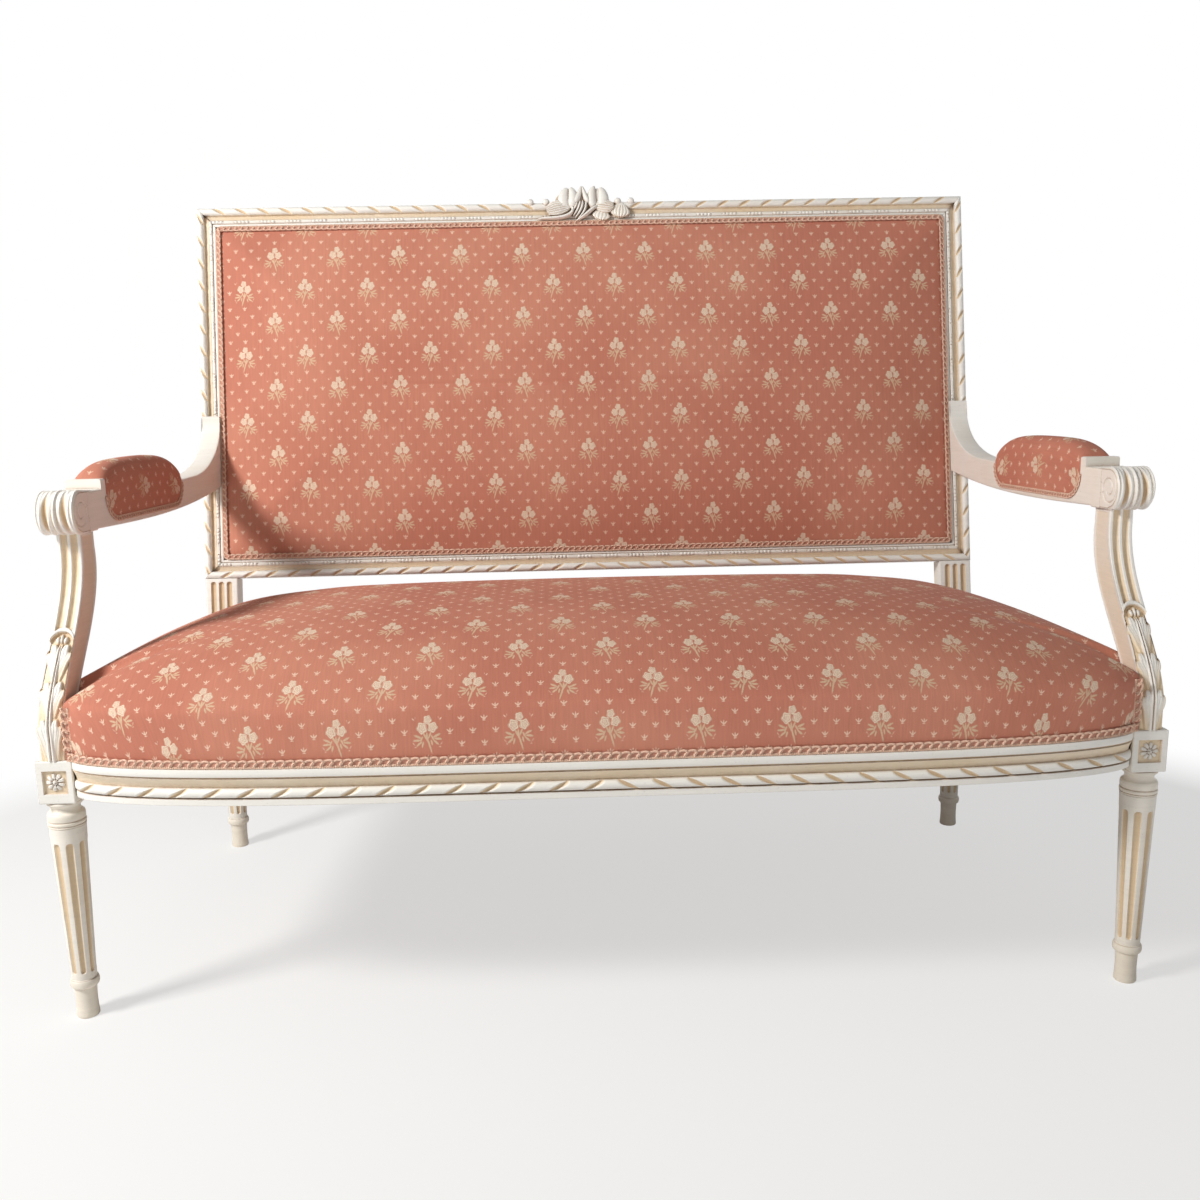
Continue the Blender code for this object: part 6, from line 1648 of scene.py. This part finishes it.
jute = makeWoven("juteWeb", rgb(196, 166, 118), rgb(128, 98, 60), 0.0024, 0.88)
canvas = makeWoven("springCanvas", rgb(208, 188, 150), rgb(150, 124, 84), 0.0016, 0.90)
hair = makeSolidLook("curledHair", rgb(70, 54, 42), rgb(30, 24, 20), 900, (1, 0.15, 1), 0.85, 0.0, 0.0010)
beech = makeSolidLook("bareBeech", rgb(214, 178, 132), rgb(176, 134, 90), 30, (1, 14, 14), 0.62)
springSteel = makeSolidLook("springSteel", rgb(120, 112, 104), rgb(70, 62, 56), 60, (1, 1, 1), 0.42, 1.0,
                            0.00005)
screwSteel = makeSolidLook("screwSteel", rgb(168, 164, 158), rgb(110, 104, 98), 80, (1, 1, 1), 0.36, 1.0,
                           0.00003)


def woven(start, end, level, crossings, phase, placed):
    # a band of webbing that passes over and under the bands it crosses; placed puts its flat points in place
    looks = innerLooks
    start, end = np.array(start), np.array(end)
    length = np.linalg.norm(end - start)
    ahead = (end - start) / length
    t = np.linspace(0, 1, 90)
    lift = sum((-1) ** (k + phase) * np.exp(-((t * length - spot) / 0.034) ** 2)
               for k, spot in enumerate(crossings))
    u = np.linspace(-1, 1, 13)
    u = np.concatenate([u, u[::-1]])
    across = u * looks["bandHalf"]
    height = looks["bandThickness"] / 2 * (1 - u ** 12) * np.repeat([1, -1], 13)
    flat = (start + (end - start) * t[:, None])[:, None] + across[:, None] * [-ahead[1], ahead[0]]
    z = level + height + lift[:, None] * looks["weave"] / 2
    rings = placed(np.concatenate([flat, z[..., None]], -1))
    return carried(rings, marked(0.0, (t * length)[:, None], across))


def makeSeatWebbing():
    # bands from front to rear, woven with bands from side to side, under the springs
    looks = innerLooks
    level = settee["railFoot"] - settee["gap"] - looks["bandThickness"] / 2
    front = float(railFrontY(np.array(0.5))) + 0.014
    columns, rows = np.arange(-4, 5) * looks["bandPitch"], np.array([0.12, 0.25, 0.38])
    bands = [woven((x, front), (x, 0.536), level, rows - front, k, np.copy) for k, x in enumerate(columns)]
    for k, y in enumerate(rows):
        reach = float(sideX(y)) - 0.0153
        bands.append(woven((-reach, y), (reach, y), level, columns + reach, k + 1, np.copy))
    return joined(*bands)


def upTheBack(flat):
    # points of (across, height, depth) to the back's plane
    return rakedPoints(flat[..., [0, 2, 1]])


def makeBackWebbing():
    # bands up and across behind the back's stuffing
    stile, tall = settee["stileWidth"], settee["backHeight"]
    half = settee["backHalf"] - stile
    level = settee["coreDepth"] - 0.0008 - settee["gap"] - innerLooks["bandThickness"] / 2
    low, high, reach = 0.034, tall - 0.034, half + 0.012
    columns = (np.arange(7) - 3) * (2 * half / 7)
    rows = stile + (np.arange(3) + 0.5) * (tall - 2 * stile) / 3
    bands = [woven((x, low), (x, high), level, rows - low, k, upTheBack) for k, x in enumerate(columns)]
    bands += [woven((-reach, h), (reach, h), level, columns + reach, k + 1, upTheBack)
              for k, h in enumerate(rows)]
    return joined(*bands)


def makeSpring(x, y):
    # an hourglass coil: radius = waist + (coil - waist) * (2t - 1)^2
    looks = innerLooks
    t = np.linspace(0, 1, 120)
    turn = 2 * math.pi * looks["turns"] * t
    radius = looks["waist"] + (looks["coil"] - looks["waist"]) * (2 * t - 1) ** 2
    z = settee["railFoot"] + looks["wire"] + (looks["springHeight"] - 2 * looks["wire"]) * t
    line = np.stack([x + radius * np.cos(turn), y + radius * np.sin(turn), z], 1)
    return cord(line, looks["wire"] * 0.98, 0.0, np.array([0.0, 0.0, 1.0]), 10)


def hollowPlan():
    # plan of the space over the springs, its points spread like the seat's outline
    corners = np.array([(0.0, -0.010), (0.300, -0.010), (0.5595, 0.0355), (0.532, 0.501), (0.0, 0.501)])
    length = runLength(corners)
    place = np.interp(np.linspace(0, 1, innerLooks["planPoints"] // 2 + 1), [0, 0.40, 0.45, 0.78, 1.0],
                      [0, length[2] - 0.02, length[2] + 0.03, length[3], length[4]])
    return bothSides(pointsAt(place, length, corners))


def makeStuffing():
    # the hair under the seat's cover, a little lumpy, over the canvas
    looks = innerLooks
    rings = seatSurface(looks["planPoints"], 30, 8, 0.0032)
    plan = hollowPlan()
    inner = [atHeight(plan, looks["hairFoot"]), atHeight(plan, rings[0, 0, 2])]
    rings = np.concatenate([inner, rings])
    lumps = np.random.default_rng(5).normal(0, looks["lump"], rings.shape[:2])
    rings[3:, :, 2] -= np.abs(lumps[3:])
    return carried(rings)


def makeCanvas():
    # a flat sheet: rings from near its middle out along its lower face and back along its upper one
    plan = hollowPlan() * 0.999
    middle = np.array([0.0, 0.25])
    out = np.linspace(0.06, 1, 24)
    rings = [atHeight(middle + (plan - middle) * share, innerLooks["canvasFoot"]) for share in out]
    rings += [atHeight(middle + (plan - middle) * share, innerLooks["canvasHead"]) for share in out[::-1]]
    rings = np.array(rings)
    return carried(rings, marked(0.0, rings[..., 0], rings[..., 1]))


def makeBackStuffing():
    base = backDome(0.0090, 0.0, 300, 2)[:1] * [0.999, 1, 1]
    return carried(rakedPoints(np.concatenate([base, backDome(0.0073, 0.0235, 300, 30)])))


def makeOutsideCover():
    # the plain cover tacked over the back's rear face, a little slack between its edges
    edge, tall = innerLooks["tackedEdge"], settee["backHeight"]
    half, high = settee["backHalf"] - edge, tall - edge
    across, up = np.meshgrid(np.linspace(-half, half, 120), np.linspace(edge, high, 60))
    slack = np.sin(math.pi * (across + half) / (2 * half)) * np.sin(math.pi * (up - edge) / (high - edge))
    front = np.stack([across, 0.0363 - 0.0007 * slack ** 0.5, up], -1)
    back = np.stack([across[:, ::-1], np.full_like(across, settee["backThickness"] + settee["gap"]), up], -1)
    local = np.concatenate([front, back], 1)
    return carried(rakedPoints(local), marked(0.0, local[..., 0], local[..., 2] - tall / 2))


addPiece("outsideCover", makeOutsideCover(), coralBack, "coral_fabric", ["outside_back_cover"])
addPiece("seatWebbing", makeSeatWebbing(), jute, "jute_webbing", ["seat_webbing"])
addPiece("backWebbing", makeBackWebbing(), jute, "jute_webbing", ["back_webbing"])
addPiece("springCanvasSheet", makeCanvas(), canvas, "burlap_canvas", ["spring_canvas"])
addPiece("seatStuffing", makeStuffing(), hair, "horsehair", ["seat_stuffing"])
addPiece("backStuffing", makeBackStuffing(), hair, "horsehair", ["back_stuffing"])
springPlaces = [(x, y) for y in innerLooks["springRows"] for x in innerLooks["springColumns"]]
for number, (x, y) in enumerate(springPlaces, 1):
    addPiece(f"seatSpring{number}", makeSpring(x, y), springSteel, "spring_steel", [f"seat_spring_{number}"])
keptNodes = {"corner_brace": beech, "brace_screw": screwSteel, "back_seat_rail": ivoryPlain}
for name, node in frame["nodes"].items():
    for start, material in keptNodes.items():
        if name.startswith(start):
            for held in node.material_slots:
                held.material = material
print("inside made")


# Floor, light and camera

roomLooks = {
    "floor": rgb(242, 241, 239), "floorSize": 14.0, "paper": 0.6, "white": (1, 1, 1, 1),
    "world": 0.17, "worldColour": (1.0, 0.985, 0.965, 1.0),
}
# name, place, target, size, power and colour of each lamp
lamps = [
    ("key", (-1.85, -1.15, 1.75), (0.0, 0.0, 0.55), 0.5, 56.0, (1.0, 0.985, 0.965)),
    ("fill", (2.6, -1.6, 1.5), (0.0, 0.0, 0.5), 2.0, 2.0, (1.0, 0.98, 0.96)),
    ("front", (-0.3, -3.2, 1.2), (0.0, 0.0, 0.5), 2.4, 6.5, (1.0, 0.98, 0.96)),
]
cameraLooks = {
    "lens": 34.490, "sensor": 36.0, "shift": (0.008933, 0.019108), "far": 60.0,
    "place": (-0.050197, -1.581974, 0.703009), "right": (0.99937, -0.02886, -0.02064),
    "ahead": (0.02447, 0.98184, -0.18812),
}


def makeFloor():
    # white paper, a little uneven, that fades to plain white away from the settee
    bpy.ops.mesh.primitive_plane_add(size=roomLooks["floorSize"], location=(0, 2.0, 0))
    floor = bpy.context.object
    floor.name = "floor"
    made, tree, shader = newMaterial("floorPaper", Base_Color=roomLooks["floor"], Specular_IOR_Level=0.1)
    place = ownPlace(tree)
    grain = noise(tree, place, 180.0, 2.0)
    tree.links.new(ranged(tree, grain, 0.3, 0.7, 0.86, 0.94), shader.inputs["Roughness"])
    far = ranged(tree, span(tree, stretched(tree, place, (1.0, 1.35, 1.0), (0, 2.7, 0))), 0.80, 1.45)
    seen = addNode(tree, "ShaderNodeLightPath").outputs["Is Camera Ray"]
    bright = maths(tree, "MAXIMUM", far, maths(tree, "MULTIPLY", seen, roomLooks["paper"]))
    glow = addNode(tree, "ShaderNodeEmission", None, Color=roomLooks["white"], Strength=1.0)
    mixed = addNode(tree, "ShaderNodeMixShader", None, Fac=bright, i1=shader.outputs[0], i2=glow.outputs[0])
    tree.links.new(mixed.outputs[0], tree.nodes["Material Output"].inputs["Surface"])
    floor.data.materials.append(made)


def makeWorld():
    # soft light all round, seen as plain white
    world = bpy.data.worlds.new("studio")
    world.use_nodes = True
    bpy.context.scene.world = world
    tree = world.node_tree
    seen = addNode(tree, "ShaderNodeLightPath").outputs
    direct = largest(tree, [seen[f"Is {kind} Ray"] for kind in ("Camera", "Glossy", "Transmission")])
    glows = (roomLooks["worldColour"], roomLooks["world"]), (roomLooks["white"], 1.0)
    soft, white = [addNode(tree, "ShaderNodeBackground", None, Color=colour, Strength=strength).outputs[0]
                   for colour, strength in glows]
    chosen = addNode(tree, "ShaderNodeMixShader", None, Fac=direct, i1=soft, i2=white)
    tree.links.new(chosen.outputs[0], tree.nodes["World Output"].inputs["Surface"])


def putInRoom(item, place, side, back):
    # a lamp or camera at its place; side is its own right, and it looks away from back
    turned = np.column_stack([side, np.cross(back, side), back])
    item.matrix_world = Matrix.Translation(place) @ Matrix(turned.tolist()).to_4x4()
    bpy.context.scene.collection.objects.link(item)


def addLamp(name, place, target, size, power, colour):
    data = bpy.data.lights.new(name, "AREA")
    data.shape, data.size, data.energy, data.color = "SQUARE", size, power, colour
    back = unit(np.array(place) - target)
    putInRoom(bpy.data.objects.new(name, data), place, unit(np.cross([0, 0, 1], back)), back)


def makeCamera():
    looks = cameraLooks
    data = bpy.data.cameras.new("camera")
    data.sensor_width, data.lens, data.clip_end = looks["sensor"], looks["lens"], looks["far"]
    data.shift_x, data.shift_y = looks["shift"]
    camera = bpy.data.objects.new("camera", data)
    right, ahead = np.array(looks["right"]), np.array(looks["ahead"])
    putInRoom(camera, looks["place"], unit(right - ahead * (right @ ahead)), -ahead)
    bpy.context.scene.camera = camera


makeFloor()
makeWorld()
for lamp in lamps:
    addLamp(*lamp)
makeCamera()
bpy.context.scene.view_settings.view_transform = "Standard"
print("room, lamps and camera set")
